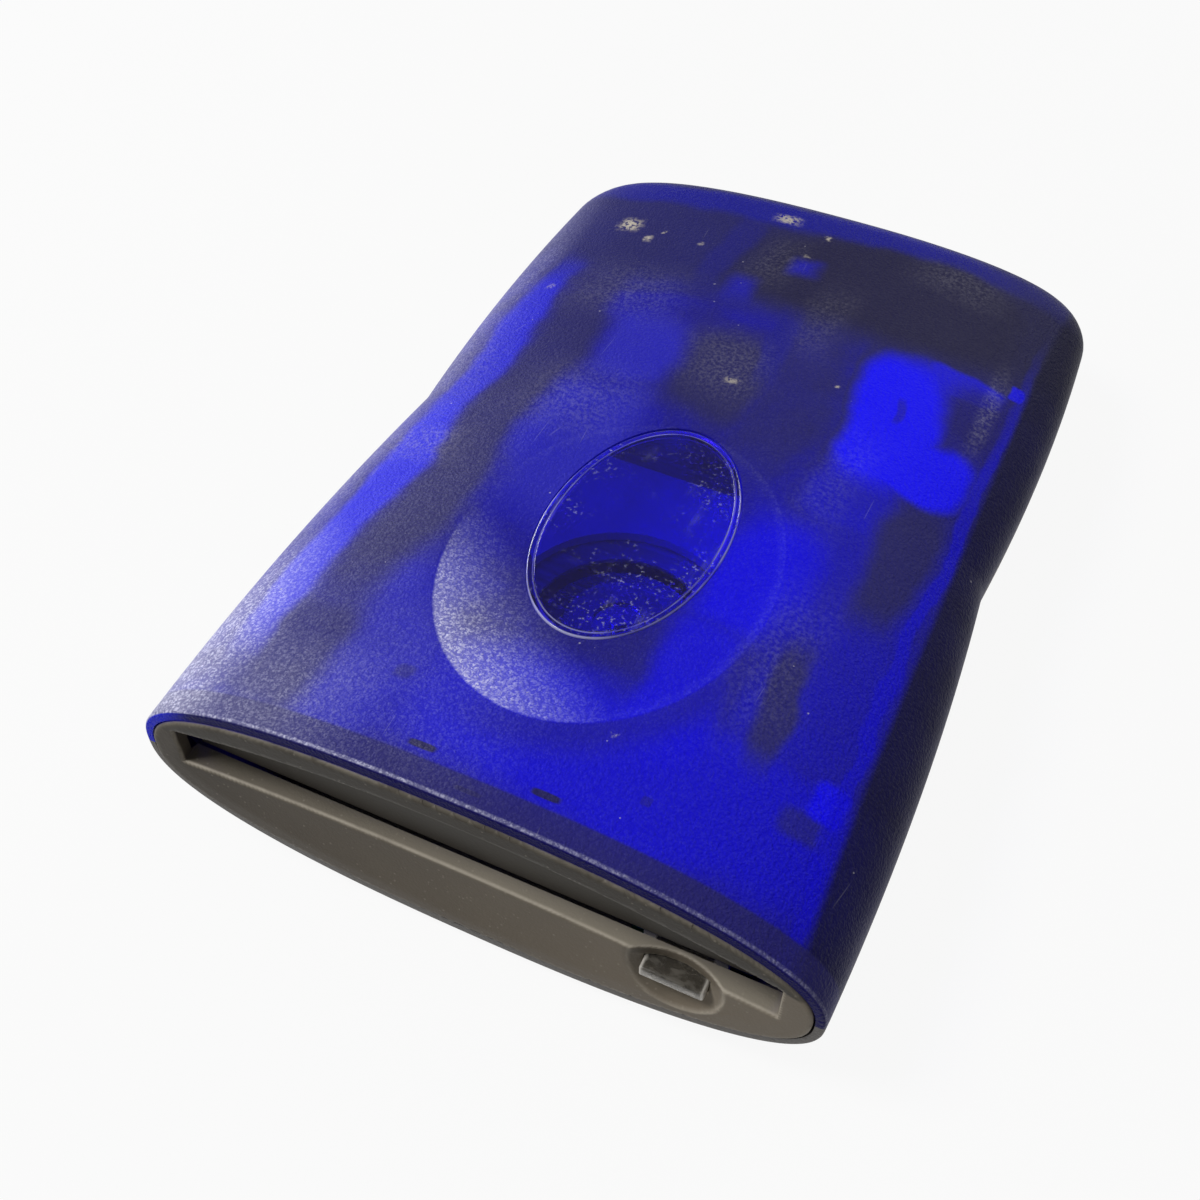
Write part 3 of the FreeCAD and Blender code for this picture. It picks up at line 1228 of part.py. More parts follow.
def latch():
    body = newBody("latch")
    half = "hookTipHalfWidth"
    tip = [("latchX + latchHubRadius", "latchY"), (f"hookTipX + {half}", f"rim + hookTipDepth + {half}"),
           (f"hookTipX + {half}", f"rim + hookTipDepth - {half}"),
           (f"hookTipX - {half}", f"rim + hookTipDepth - {half}"), ("latchX - latchHubRadius / 2", "latchY")]
    margin = "slotHalfWidthAcross + latchArmMargin"
    arm = [("latchX + latchHubRadius / 2", "latchY"), (f"plungerPinX + {margin}", f"plungerY - {margin}"),
           (f"plungerPinX + {margin}", "plungerY + slotLength"), (f"plungerPinX - {margin}", "plungerY + slotLength"),
           (f"plungerPinX - {margin}", f"plungerY - {margin}"), ("latchX - latchHubRadius", "latchY")]
    pad(body, "XY", ("latchLow", "latchTop"), [circle("latchX", "latchY", "latchHubRadius")])
    pad(body, "XY", ("latchLow", "latchTop"), [tip])
    pad(body, "XY", ("latchLow", "latchTop"), [arm])
    pocket(body, "XY", ("latchLow", "latchTop"),
           [circle("latchX", "latchY", "latchPinRadius + pinGap"),
            rectangle(("plungerPinX - slotHalfWidthAcross", "plungerPinX + slotHalfWidthAcross"),
                      ("plungerY - slotHalfWidthAcross", "plungerY - slotHalfWidthAcross + slotLength"))])
    keep(body, "eject_latch")
    rodPiece = rod("plunger_rod", "plungerPinX - plungerHead", "plungerY", "plungerHeight", "plungerRadius",
                   "plungerLength", "x")
    pin = rod("plunger_pin", "plungerPinX", "plungerY", "latchLow - pinGap * 6", "plungerPinRadius",
              "plungerHeight - (latchLow - pinGap * 6)")
    keep(fuse("plunger", [rodPiece, pin]), "solenoid_plunger")


keep(formed("top_cover", topCover()), "top_cover")
keep(formed("window_lens", windowLens()), "window_lens")
keep(formed("bottom_cover", bottomCover()), "bottom_cover")
keep(formed("front_bezel", frontBezel()), "front_bezel")
footAndScrews()
chassis()
guideRail(-1, "left_guide_rail")
guideRail(1, "right_guide_rail")
liftPins()
circuitBoards()
linkRibbon()
usbSocket()
actuator()
solenoid()
button()
flap()
sled()
motor()
headCarriage()
latch()

document.recompute()
for item in document.Objects:
    if "Invalid" in item.State or "Error" in item.State:
        raise ValueError(item.Name + " failed")
for item in nodes:
    if item.Shape.isNull() or not item.Shape.isValid():
        raise ValueError(item.Label + " has no valid shape")
os.makedirs("parts", exist_ok=True)
for item in nodes:
    item.Shape.exportStep(f"parts/{item.Label}.step")
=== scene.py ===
import json
import math
import bmesh
import bpy
from mathutils import Matrix, Vector
from mathutils.geometry import delaunay_2d_cdt
from mathutils.kdtree import KDTree


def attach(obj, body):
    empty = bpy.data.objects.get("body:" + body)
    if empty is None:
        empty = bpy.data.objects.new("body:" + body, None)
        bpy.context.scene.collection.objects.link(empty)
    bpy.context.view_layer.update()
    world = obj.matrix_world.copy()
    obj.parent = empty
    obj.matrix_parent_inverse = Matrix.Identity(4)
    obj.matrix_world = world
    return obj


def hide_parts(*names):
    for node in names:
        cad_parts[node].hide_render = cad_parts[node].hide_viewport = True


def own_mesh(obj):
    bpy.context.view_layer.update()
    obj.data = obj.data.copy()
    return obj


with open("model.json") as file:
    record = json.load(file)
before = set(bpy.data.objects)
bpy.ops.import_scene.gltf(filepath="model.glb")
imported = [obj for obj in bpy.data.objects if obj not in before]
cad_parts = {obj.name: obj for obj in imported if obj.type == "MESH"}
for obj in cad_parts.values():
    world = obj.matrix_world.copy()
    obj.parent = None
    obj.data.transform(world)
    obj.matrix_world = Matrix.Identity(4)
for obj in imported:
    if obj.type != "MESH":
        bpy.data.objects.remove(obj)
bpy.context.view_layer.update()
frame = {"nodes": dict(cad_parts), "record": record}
mm = 0.001

# the case, in millimetres
case = {
    "length": 171.0,
    "rim": -85.1,             # the shells' front edge, on y
    "frontHalfWidth": 56.3,
    "frontLobe": (36.0, 57.2),    # depth behind the rim, half width
    "waist": (85.0, 54.8),
    "rearLobe": (128.0, 56.8),
    "rearHalfWidth": 54.9,
    "parting": 21.1,
    "lowerDepth": 19.1,
    "frontRise": 19.3,
    "rearRise": 11.4,
    "power": 2.38,
    "cornerRadius": 15.0,
    "upperRearRadius": 9.0,
    "lowerRearRadius": 7.0,
    "wall": 2.2,
    "sideWall": 1.5,
    "edgeRadius": 0.55,
    "bezelProud": 0.4,
}
dish = {"depth": 53.0, "frontReach": 36.0, "rearReach": 55.0, "halfWidth": 27.2, "hollow": 2.0}
window = {"depth": 62.0, "across": 15.6, "along": 26.4, "gap": 0.12, "rise": 1.05}


def throughKnots(depth, knots):
    total = 0
    for own, width in knots:
        for other, _ in knots:
            if other != own:
                width *= (depth - other) / (own - other)
        total += width
    return total


def halfWidth(depth):  # two lobes that meet at the waist
    front = (0, case["frontHalfWidth"])
    rear = (case["length"], case["rearHalfWidth"])
    if depth < case["waist"][0]:
        return throughKnots(depth, (front, case["frontLobe"], case["waist"]))
    return throughKnots(depth, (case["waist"], case["rearLobe"], rear))


def topRise(depth):
    return case["frontRise"] - (case["frontRise"] - case["rearRise"]) * depth / case["length"]


def rounding(distance, radius):
    if distance >= radius:
        return 0.0
    return radius - math.sqrt(max(0.0, radius ** 2 - (radius - distance) ** 2))


def lawOf(x, width, rise):  # height of the section at x
    return rise * max(0.0, 1 - (abs(x) / width) ** case["power"]) ** (1 / case["power"])


def softLeast(a, b, reach):  # the lower of two, blended over a short reach
    share = max(0.0, min(1.0, 0.5 + 0.5 * (b - a) / reach))
    return b + (a - b) * share - reach * share * (1 - share)


def dishDrop(x, depth, width, rise):
    reach = dish["frontReach"] if depth < dish["depth"] else dish["rearReach"]
    left = 1 - ((depth - dish["depth"]) / reach) ** 2
    if left <= 0:
        return 0.0
    edge = max(0.6, dish["halfWidth"] * math.sqrt(left))
    brim = lawOf(edge, width, rise)
    floor = rise - dish["hollow"] * left
    own = lawOf(x, width, rise)
    bowl = brim + (floor - brim) * (1 - (x / edge) ** 2)
    blend = 0.12 + 0.5 * max(0.0, (depth - dish["depth"]) / dish["rearReach"])
    return own - min(own, softLeast(own, bowl, blend))


def setSmooth(item, degrees=32):
    for face in item.data.polygons:
        face.use_smooth = True
    item.data.set_sharp_from_angle(angle=math.radians(degrees))
    return item


def placed(name, data):
    item = bpy.data.objects.new(name, data)
    bpy.context.scene.collection.objects.link(item)
    return item


def finishIn(item, material):
    item.data.materials.clear()
    item.data.materials.append(material)


def settle(item):  # what the modifiers make becomes the mesh itself
    depsgraph = bpy.context.evaluated_depsgraph_get()
    made = bpy.data.meshes.new_from_object(item.evaluated_get(depsgraph))
    item.modifiers.clear()
    item.data = made


def meshPiece(name, points, faces, degrees=32, scale=mm):
    data = bpy.data.meshes.new(name)
    data.from_pydata([Vector(p) * scale for p in points], [], faces)
    tidy = bmesh.new()
    tidy.from_mesh(data)
    bmesh.ops.remove_doubles(tidy, verts=tidy.verts, dist=1e-6)
    bmesh.ops.delete(tidy, geom=[vert for vert in tidy.verts if not vert.link_faces], context="VERTS")
    bmesh.ops.recalc_face_normals(tidy, faces=tidy.faces)
    tidy.to_mesh(data)
    tidy.free()
    return setSmooth(placed(name, data), degrees)


def cutBy(item, tools, degrees=32):
    for tool in tools:
        step = item.modifiers.new("cut", "BOOLEAN")
        step.operation = "DIFFERENCE"
        step.solver = "EXACT"
        step.object = tool
    settle(item)
    for tool in tools:
        bpy.data.objects.remove(tool)
    return setSmooth(item, degrees)


# node trees
def node(tree, kind, inputs=None, family="ShaderNode", **settings):
    item = tree.nodes.new(family + kind)
    for key, setting in settings.items():
        setattr(item, key, setting)
    for key, what in (inputs or {}).items():
        if isinstance(what, bpy.types.NodeSocket):
            tree.links.new(what, item.inputs[key])
        else:
            item.inputs[key].default_value = what
    return item


def newMaterial(name):
    made = bpy.data.materials.new(name)
    made.use_nodes = True
    tree = made.node_tree
    tree.nodes.clear()
    return made, tree


def finishWith(tree, shader):
    node(tree, "OutputMaterial", {"Surface": shader})


def colour(red, green, blue):  # screen values, 0 to 255, as linear light
    def linear(part):
        part /= 255
        return part / 12.92 if part <= 0.04045 else ((part + 0.055) / 1.055) ** 2.4
    return (linear(red), linear(green), linear(blue), 1.0)


def maths(tree, operation, first, second=0.0, third=0.0, clamp=False):
    inputs = {0: first, 1: second, 2: third}
    return node(tree, "Math", inputs, operation=operation, use_clamp=clamp).outputs[0]


def vectors(tree, operation, *given):
    return node(tree, "VectorMath", dict(enumerate(given)), operation=operation).outputs


def mixColour(tree, share, first, second, blend="MIX"):
    return node(tree, "Mix", {0: share, 6: first, 7: second}, data_type="RGBA", blend_type=blend).outputs[2]


def band(tree, source, low, high, outLow=0.0, outHigh=1.0, kind="SMOOTHSTEP"):
    return node(tree, "MapRange", {0: source, 1: low, 2: high, 3: outLow, 4: outHigh},
                interpolation_type=kind).outputs[0]


def objectPoint(tree):
    return node(tree, "TexCoord").outputs["Object"]


def noise(tree, point, scale, detail=2.0, rough=0.5, distortion=0.0):
    return node(tree, "TexNoise", {"Vector": point, "Scale": scale, "Detail": detail,
                                   "Roughness": rough, "Distortion": distortion})


def grainBump(tree, point, size, depth):  # a fine moulded grain of rounded pebbles
    cells = node(tree, "TexVoronoi", {"Vector": point, "Scale": 1 / size, "Randomness": 1.0},
                 feature="SMOOTH_F1").outputs["Distance"]
    fine = noise(tree, point, 1.7 / size, 2.0).outputs[0]
    height = maths(tree, "MULTIPLY_ADD", cells, -0.8, fine)
    return node(tree, "Bump", {"Height": height, "Strength": 1.0, "Distance": depth}).outputs[0]


def lightPast(tree, body, tint):  # light on its way to what lies behind goes straight through, tinted
    passing = node(tree, "BsdfTransparent", {"Color": tint})
    path = node(tree, "LightPath")
    return node(tree, "MixShader", {0: path.outputs["Is Shadow Ray"], 1: body.outputs[0],
                                    2: passing.outputs[0]}).outputs[0]


# the eject button: a clear block, its stem and its flange
key = {
    "centre": (33.8, 15.7),
    "half": (5.05, 1.1),
    "front": -0.4,
    "body": 5.1,          # depth where the flange starts
    "round": 0.38,
    "flangeX": (27.1, 40.5),
    "flangeZ": (11.7, 17.8),
    "flangeThick": 1.0,
    "flangeRound": 0.2,
    "stemInset": 2.0,
    "stemZ": (14.6, 16.8),
    "stemSunk": 0.8,      # where the stem starts inside the flange
    "stemEnd": 9.55,
    "stemRound": 0.3,
}


# materials
plainFinishes = {
    "grey_shell": {"colour": (84, 80, 76), "rough": 0.55, "grain": 0.0007, "depth": 0.00010},
    "foot_rubber": {"colour": (34, 34, 36), "rough": 0.85, "grain": 0.0006, "depth": 0.00005},
    "white_plastic": {"colour": (206, 206, 200), "rough": 0.5, "grain": 0.0008, "depth": 0.00002},
    "circuit_board": {"colour": (18, 74, 40), "rough": 0.45, "grain": 0.0009, "depth": 0.00002},
    "chip_black": {"colour": (26, 26, 28), "rough": 0.55, "grain": 0.0004, "depth": 0.00001},
    "ribbon_film": {"colour": (196, 128, 44), "rough": 0.35, "grain": 0.0010, "depth": 0.00001},
    "led_clear": {"colour": (196, 214, 190), "rough": 0.15, "grain": 0.0010, "depth": 0.00001},
    "flap_plastic": {"colour": (58, 54, 48), "rough": 0.6, "grain": 0.0006, "depth": 0.00003},
    "sled_plastic": {"colour": (142, 142, 146), "rough": 0.5, "grain": 0.0007, "depth": 0.00003},
}
metalFinishes = {
    "screw_steel": {"colour": (196, 196, 192), "rough": 0.32},
    "frame_steel": {"colour": (168, 170, 172), "rough": 0.38},
    "socket_metal": {"colour": (206, 206, 204), "rough": 0.25},
    "magnet_metal": {"colour": (132, 132, 136), "rough": 0.35},
    "polished_steel": {"colour": (150, 150, 158), "rough": 0.24},
    "spring_steel": {"colour": (186, 188, 192), "rough": 0.25},
    "bearing_brass": {"colour": (201, 164, 86), "rough": 0.28},
    "copper_winding": {"colour": (189, 104, 58), "rough": 0.35},
}


def plainMaterial(name, finish):
    made, tree = newMaterial(name)
    point = objectPoint(tree)
    cloudy = noise(tree, point, 60.0, 4.0).outputs[0]
    base = colour(*finish["colour"])
    darker = [part * 0.82 for part in base[:3]] + [1.0]
    lighter = [min(1.0, part * 1.12) for part in base[:3]] + [1.0]
    shade = mixColour(tree, band(tree, cloudy, 0.35, 0.65), darker, lighter)
    rough = band(tree, cloudy, 0.3, 0.7, finish["rough"] - 0.06, finish["rough"] + 0.06, "LINEAR")
    bump = grainBump(tree, point, finish["grain"], finish["depth"])
    shader = node(tree, "BsdfPrincipled", {"Base Color": shade, "Roughness": rough, "Normal": bump})
    finishWith(tree, shader.outputs[0])
    return made


def metalMaterial(name, finish):
    made, tree = newMaterial(name)
    point = objectPoint(tree)
    stretched = node(tree, "Mapping", {"Vector": point, "Scale": (1.0, 14.0, 14.0)}).outputs[0]
    brushed = noise(tree, stretched, 90.0, 3.0).outputs[0]
    base = colour(*finish["colour"])
    darker = [part * 0.8 for part in base[:3]] + [1.0]
    shade = mixColour(tree, band(tree, brushed, 0.35, 0.65), darker, base)
    rough = band(tree, brushed, 0.3, 0.7, finish["rough"] - 0.07, finish["rough"] + 0.08, "LINEAR")
    bump = node(tree, "Bump", {"Height": brushed, "Strength": 0.4, "Distance": 0.00002}).outputs[0]
    shader = node(tree, "BsdfPrincipled", {"Base Color": shade, "Metallic": 1.0, "Roughness": rough,
                                           "Normal": bump})
    finishWith(tree, shader.outputs[0])
    return made


finishes = {name: plainMaterial(name, finish) for name, finish in plainFinishes.items()}
finishes.update({name: metalMaterial(name, finish) for name, finish in metalFinishes.items()})

# painted light and painted shadow: how light comes through the blue shell past what lies under it, as soft
# patches from the back to the front:
# centre x, depth, half width, half depth, amount
lightAndShadowUnderShell = [
    {"tone": (14, 6, 206), "soft": 0.30, "patches": (       # painted light through the shell: open field at the front
        (19.0, 17.0, 36.0, 12.5, 0.9), (38.0, 45.0, 12.0, 40.0, 0.45), (30.0, 84.0, 7.0, 7.0, 0.6))},
    {"tone": (40, 38, 182), "soft": 0.35, "patches": (       # painted light: hazy field beside the dish
        (-19.0, 76.0, 8.0, 18.0, 0.8), (-24.0, 22.0, 7.0, 20.0, 0.6), (-19.5, 104.5, 7.5, 10.0, 0.75))},
    {"tone": (38, 36, 92), "soft": 0.36, "patches": (        # painted shadow of the rails, boards and the motor's frame
        (-34.5, 80.0, 5.4, 55.0, 0.9), (-35.5, 17.0, 6.5, 13.0, 0.75), (-2.8, 104.0, 8.8, 11.5, 1.0),
        (12.0, 106.0, 7.0, 22.0, 0.65), (40.5, 77.0, 5.2, 15.5, 0.9), (34.0, 38.0, 2.6, 12.5, 0.85),
        (22.0, 112.0, 2.0, 18.0, 0.6), (44.5, 19.5, 4.0, 2.6, 0.6), (-18.6, 15.7, 1.6, 1.2, 0.5))},
    {"tone": (36, 35, 92), "soft": 0.22, "patches": (        # painted shadow of the drive board across the rear
        (0.0, 152.0, 60.0, 27.0, 0.9), (-31.0, 130.0, 20.0, 8.0, 0.5))},
    {"tone": (34, 32, 62), "soft": 0.30, "patches": (        # painted shadow of the rear shield
        (18.0, 143.0, 30.0, 14.5, 0.9), (47.0, 146.0, 10.0, 12.0, 0.7))},
    {"tone": (26, 24, 130), "soft": 0.40, "patches": (       # painted light: glow between the boards
        (4.0, 117.0, 2.4, 10.0, 0.8), (-14.5, 143.0, 3.0, 14.0, 0.5), (8.0, 40.0, 14.0, 12.0, 0.35))},
    {"tone": (30, 30, 215), "soft": 0.30, "patches": (       # light along the left wall
        (-44.5, 52.0, 3.8, 34.0, 0.95), (-44.5, 98.0, 3.8, 28.0, 0.7))},
    {"tone": (10, 0, 255), "soft": 0.20, "patches": (        # openings that the light falls straight through
        (29.0, 108.0, 7.4, 17.5, 1.0), (37.0, 99.0, 9.0, 7.5, 1.0), (46.4, 129.3, 1.5, 2.2, 0.8),
        (38.0, 124.5, 7.0, 3.4, 0.6), (46.3, 26.0, 2.8, 4.0, 0.8))},
    {"tone": (10, 0, 216), "soft": 0.35, "patches": (        # light past the hub
        (22.0, 60.0, 7.5, 14.5, 1.0), (20.0, 34.0, 5.5, 14.0, 0.8), (48.0, 66.0, 1.2, 64.0, 0.6))},
    {"tone": (10, 0, 216), "soft": 0.8, "patches": (
        (0.7, 144.3, 2.4, 2.6, 0.45), (-7.1, 130.7, 2.4, 4.4, 0.4))},
    {"tone": (28, 24, 104), "soft": 0.40, "patches": (       # painted shadow of the motor and coil seen against the light
        (41.5, 117.5, 5.6, 8.0, 0.75), (42.2, 113.4, 3.6, 3.6, 0.9), (29.5, 111.5, 0.7, 2.6, 0.5),
        (4.0, 37.0, 9.0, 5.0, 0.55), (11.0, 46.0, 5.0, 8.0, 0.3))},
    {"tone": (18, 16, 50), "soft": 0.07, "still": True, "patches": (   # painted shade on the right wall, past its corner
        (60.0, 80.0, 10.4, 100.0, 0.9),)},
    {"tone": (36, 33, 98), "soft": 0.10, "still": True, "patches": (   # painted shadow of the bezel's flange
        (0.0, 2.0, 80.0, 2.9, 0.85),)},
    {"tone": (20, 22, 150), "soft": 0.40, "patches": (       # painted light: glow along the rear edge
        (-8.0, 160.0, 46.0, 3.6, 0.7),)},
    {"tone": (34, 31, 60), "soft": 0.20, "still": True, "patches": (   # painted shadow of the hooks behind the front edge
        (-8.5, 6.8, 2.2, 0.6, 0.9), (11.0, 6.8, 2.2, 0.6, 0.9), (23.6, 12.5, 0.8, 0.8, 0.4),
        (1.0, 2.6, 2.0, 0.4, 0.4))},
]
shellSheenAndDust = {
    "light": (222, 222, 246),
    "paintedSheen": (              # painted sheen: dull light on the grain, at the left
        (-57.0, 12.0, 13.0, 24.0, 0.60), (-58.5, 70.0, 8.0, 66.0, 0.26), (-40.0, 5.0, 18.0, 14.0, 0.16),
        (-20.0, 14.0, 22.0, 18.0, 0.05), (-35.0, 30.0, 10.0, 60.0, 0.05), (0.0, 70.0, 70.0, 120.0, 0.012)),
    "dust": (176, 174, 182),
    "clouds": (            # where dust has settled
        (-3.6, 107.0, 7.0, 7.0, 0.17), (-28.6, 122.0, 9.0, 8.0, 0.16), (-24.0, 88.0, 9.0, 8.0, 0.16),
        (42.9, 121.0, 1.6, 10.0, 0.30), (29.0, 152.0, 7.0, 4.0, 0.16), (-5.0, 144.0, 4.0, 8.0, 0.12),
        (26.0, 88.0, 4.0, 12.0, 0.09), (31.0, 46.0, 5.0, 14.0, 0.11), (10.0, 128.0, 4.0, 10.0, 0.12),
        (-45.0, 68.0, 7.0, 5.0, 0.30), (-48.0, 92.0, 5.0, 20.0, 0.14)),
    "crumb": (186, 178, 164),
    "crumbs": (            # dirt that has stuck: x, depth, half width, half depth, amount
        (-38.6, 145.0, 1.9, 1.8, 1.0), (-32.9, 140.7, 0.7, 0.9, 0.9), (-30.4, 143.9, 0.35, 0.4, 0.7),
        (-21.8, 142.5, 0.4, 0.5, 0.5), (-8.6, 158.4, 2.2, 1.2, 0.9), (1.1, 155.3, 0.6, 0.6, 0.8),
        (0.4, 103.6, 1.0, 0.6, 0.7), (17.9, 110.7, 0.35, 0.35, 0.9), (-44.6, 119.6, 0.6, 0.6, 0.6),
        (15.0, 20.7, 0.4, 0.3, 0.9), (-0.7, 147.3, 0.6, 0.5, 0.4)),
}


def patchGroup():
    tree = bpy.data.node_groups.new("softPatch", "ShaderNodeTree")
    kinds = {"Point": "Vector", "Centre": "Vector", "Half": "Vector", "Amount": "Float", "Soft": "Float"}
    for name, kind in kinds.items():
        tree.interface.new_socket(name, in_out="INPUT", socket_type="NodeSocket" + kind)
    tree.interface.new_socket("Mask", in_out="OUTPUT", socket_type="NodeSocketFloat")
    given = tree.nodes.new("NodeGroupInput").outputs
    away = vectors(tree, "SUBTRACT", given["Point"], given["Centre"])[0]
    away = vectors(tree, "DIVIDE", away, given["Half"])[0]
    flat = vectors(tree, "MULTIPLY", away, (1, 1, 0))[0]
    square = vectors(tree, "MULTIPLY", flat, flat)[0]
    reach = vectors(tree, "DOT_PRODUCT", square, square)["Value"]
    reach = maths(tree, "POWER", reach, 0.25)    # rounded corners
    low = maths(tree, "SUBTRACT", 1.0, given["Soft"])
    high = maths(tree, "ADD", 1.0, given["Soft"])
    mask = maths(tree, "MULTIPLY", band(tree, reach, low, high, 1.0, 0.0), given["Amount"])
    result = tree.nodes.new("NodeGroupOutput")
    tree.links.new(mask, result.inputs[0])
    return tree


softPatch = patchGroup()


def patchMask(tree, point, patches, soft=0.4):
    total = None
    for x, depth, halfX, halfDepth, amount in patches:
        one = tree.nodes.new("ShaderNodeGroup")
        one.node_tree = softPatch
        tree.links.new(point, one.inputs["Point"])
        one.inputs["Centre"].default_value = (x * mm, (case["rim"] + depth) * mm, 0)
        one.inputs["Half"].default_value = (halfX * mm, halfDepth * mm, 1)
        one.inputs["Amount"].default_value = amount
        one.inputs["Soft"].default_value = soft
        total = one.outputs[0] if total is None else maths(tree, "MAXIMUM", total, one.outputs[0])
    return total


blueShell = {
    "base": (22, 17, 150),
    "deep": (28, 24, 124),
    "face": (12, 8, 78),
    # painted light at the left corner of the front face
    "paintedFaceGlint": (14, 26, 196),
    "rough": 0.40,
    "gloss": 0.06,
    "grain": 0.00054,
    "grainDepth": 0.00017,
    "warps": ((34.0, 0.0095), (110.0, 0.0030)),   # noise scale, reach in metres
    "light": (0.12, 0.06, 1.0, 1.0),             # what the shell lets through to the inside
}


def warpedPoint(tree, point, scale, reach):
    shift = noise(tree, point, scale, 2.0).outputs["Color"]
    shift = vectors(tree, "SUBTRACT", shift, (0.5, 0.5, 0.5))[0]
    return vectors(tree, "MULTIPLY_ADD", shift, (reach, reach, reach), point)[0]


def grainPoints(tree, point, size):  # the tops of the grain, which catch the light
    cells = node(tree, "TexVoronoi", {"Vector": point, "Scale": 1 / size, "Randomness": 1.0},
                 feature="SMOOTH_F1")
    fine = noise(tree, point, 1.9 / size, 2.0, 0.5).outputs[0]
    top = maths(tree, "MULTIPLY_ADD", cells.outputs["Distance"], -0.55, fine)
    own = node(tree, "SeparateColor", {0: cells.outputs["Color"]}).outputs[0]
    share = band(tree, own, 0.1, 0.9, 0.35, 1.0, "LINEAR")
    return maths(tree, "MULTIPLY", band(tree, top, 0.16, 0.42), share)


def speckMask(tree, point):  # fine white specks, in clusters, and a few hairline scratches
    cells = node(tree, "TexVoronoi", {"Vector": point, "Scale": 420.0, "Randomness": 1.0})
    chance, spread, _ = node(tree, "SeparateColor", {0: cells.outputs["Color"]}).outputs
    cluster = band(tree, noise(tree, point, 38.0, 3.0, 0.6).outputs[0], 0.42, 0.70, 0.005, 0.22)
    chosen = maths(tree, "LESS_THAN", chance, cluster)
    size = band(tree, spread, 0.0, 1.0, 0.03, 0.11, "LINEAR")
    speck = maths(tree, "MULTIPLY", maths(tree, "LESS_THAN", cells.outputs["Distance"], size), chosen)
    speck = maths(tree, "MULTIPLY", speck, 0.55)
    for scale, turn in ((17.0, 0.5), (23.0, -1.1)):
        turned = node(tree, "Mapping", {"Vector": point, "Rotation": (0, 0, turn),
                                        "Scale": (1.0, 0.22, 1.0)}).outputs[0]
        edges = node(tree, "TexVoronoi", {"Vector": warpedPoint(tree, turned, 20.0, 0.01), "Scale": scale},
                     feature="DISTANCE_TO_EDGE").outputs["Distance"]
        thin = band(tree, edges, 0.0005, 0.0014, 0.16, 0.0)
        broken = band(tree, noise(tree, point, 60.0 + scale, 1.0).outputs[0], 0.62, 0.70)
        speck = maths(tree, "MAXIMUM", speck, maths(tree, "MULTIPLY", thin, broken))
    return speck


def dishReach(tree, point):  # the place in the dish, 1 at its rim
    centre = (0, (case["rim"] + dish["depth"]) * mm, 0)
    away = vectors(tree, "SUBTRACT", point, centre)[0]
    half = (dish["halfWidth"] * mm, dish["frontReach"] * mm, 1)
    away = vectors(tree, "DIVIDE", away, half)[0]
    flat = vectors(tree, "MULTIPLY", away, (1, 1, 0))[0]
    return flat, vectors(tree, "LENGTH", flat)["Value"]


def dishPaintedSheen(tree, point):  # painted sheen: the dull light that lies in the front left of the dish, and a faint light ring inside its rim
    flat, reach = dishReach(tree, point)
    inside = band(tree, reach, 0.965, 0.985, 1.0, 0.0)
    towards = vectors(tree, "DOT_PRODUCT", flat, (-0.55, -0.83, 0))["Value"]
    strong = band(tree, towards, 0.30, 0.95, 0.0, 1.0, "LINEAR")
    strong = maths(tree, "MULTIPLY", maths(tree, "POWER", strong, 2.0), 0.56)
    rim = band(tree, reach, 0.86, 0.975, 0.0, 0.028)
    return maths(tree, "MULTIPLY", inside, maths(tree, "MAXIMUM", strong, rim))


def dishShade(tree, point):  # the darker ring just outside the dish's front and right
    flat, reach = dishReach(tree, point)
    ring = maths(tree, "MULTIPLY", band(tree, reach, 0.97, 0.99), band(tree, reach, 1.03, 1.22, 1.0, 0.0))
    towards = vectors(tree, "DOT_PRODUCT", flat, (0.60, -0.80, 0))["Value"]
    return maths(tree, "MULTIPLY", ring, band(tree, towards, 0.35, 0.95, 0.0, 0.55))


def alongEdge(tree, point, near, far, amount):  # a band behind the shells' front edge, between two depths
    y = node(tree, "SeparateXYZ", {0: point}).outputs[1]
    start = case["rim"] * mm
    rise = band(tree, y, start + near[0] * mm, start + near[1] * mm)
    fall = band(tree, y, start + far[0] * mm, start + far[1] * mm, amount, 0.0)
    return maths(tree, "MULTIPLY", rise, fall)


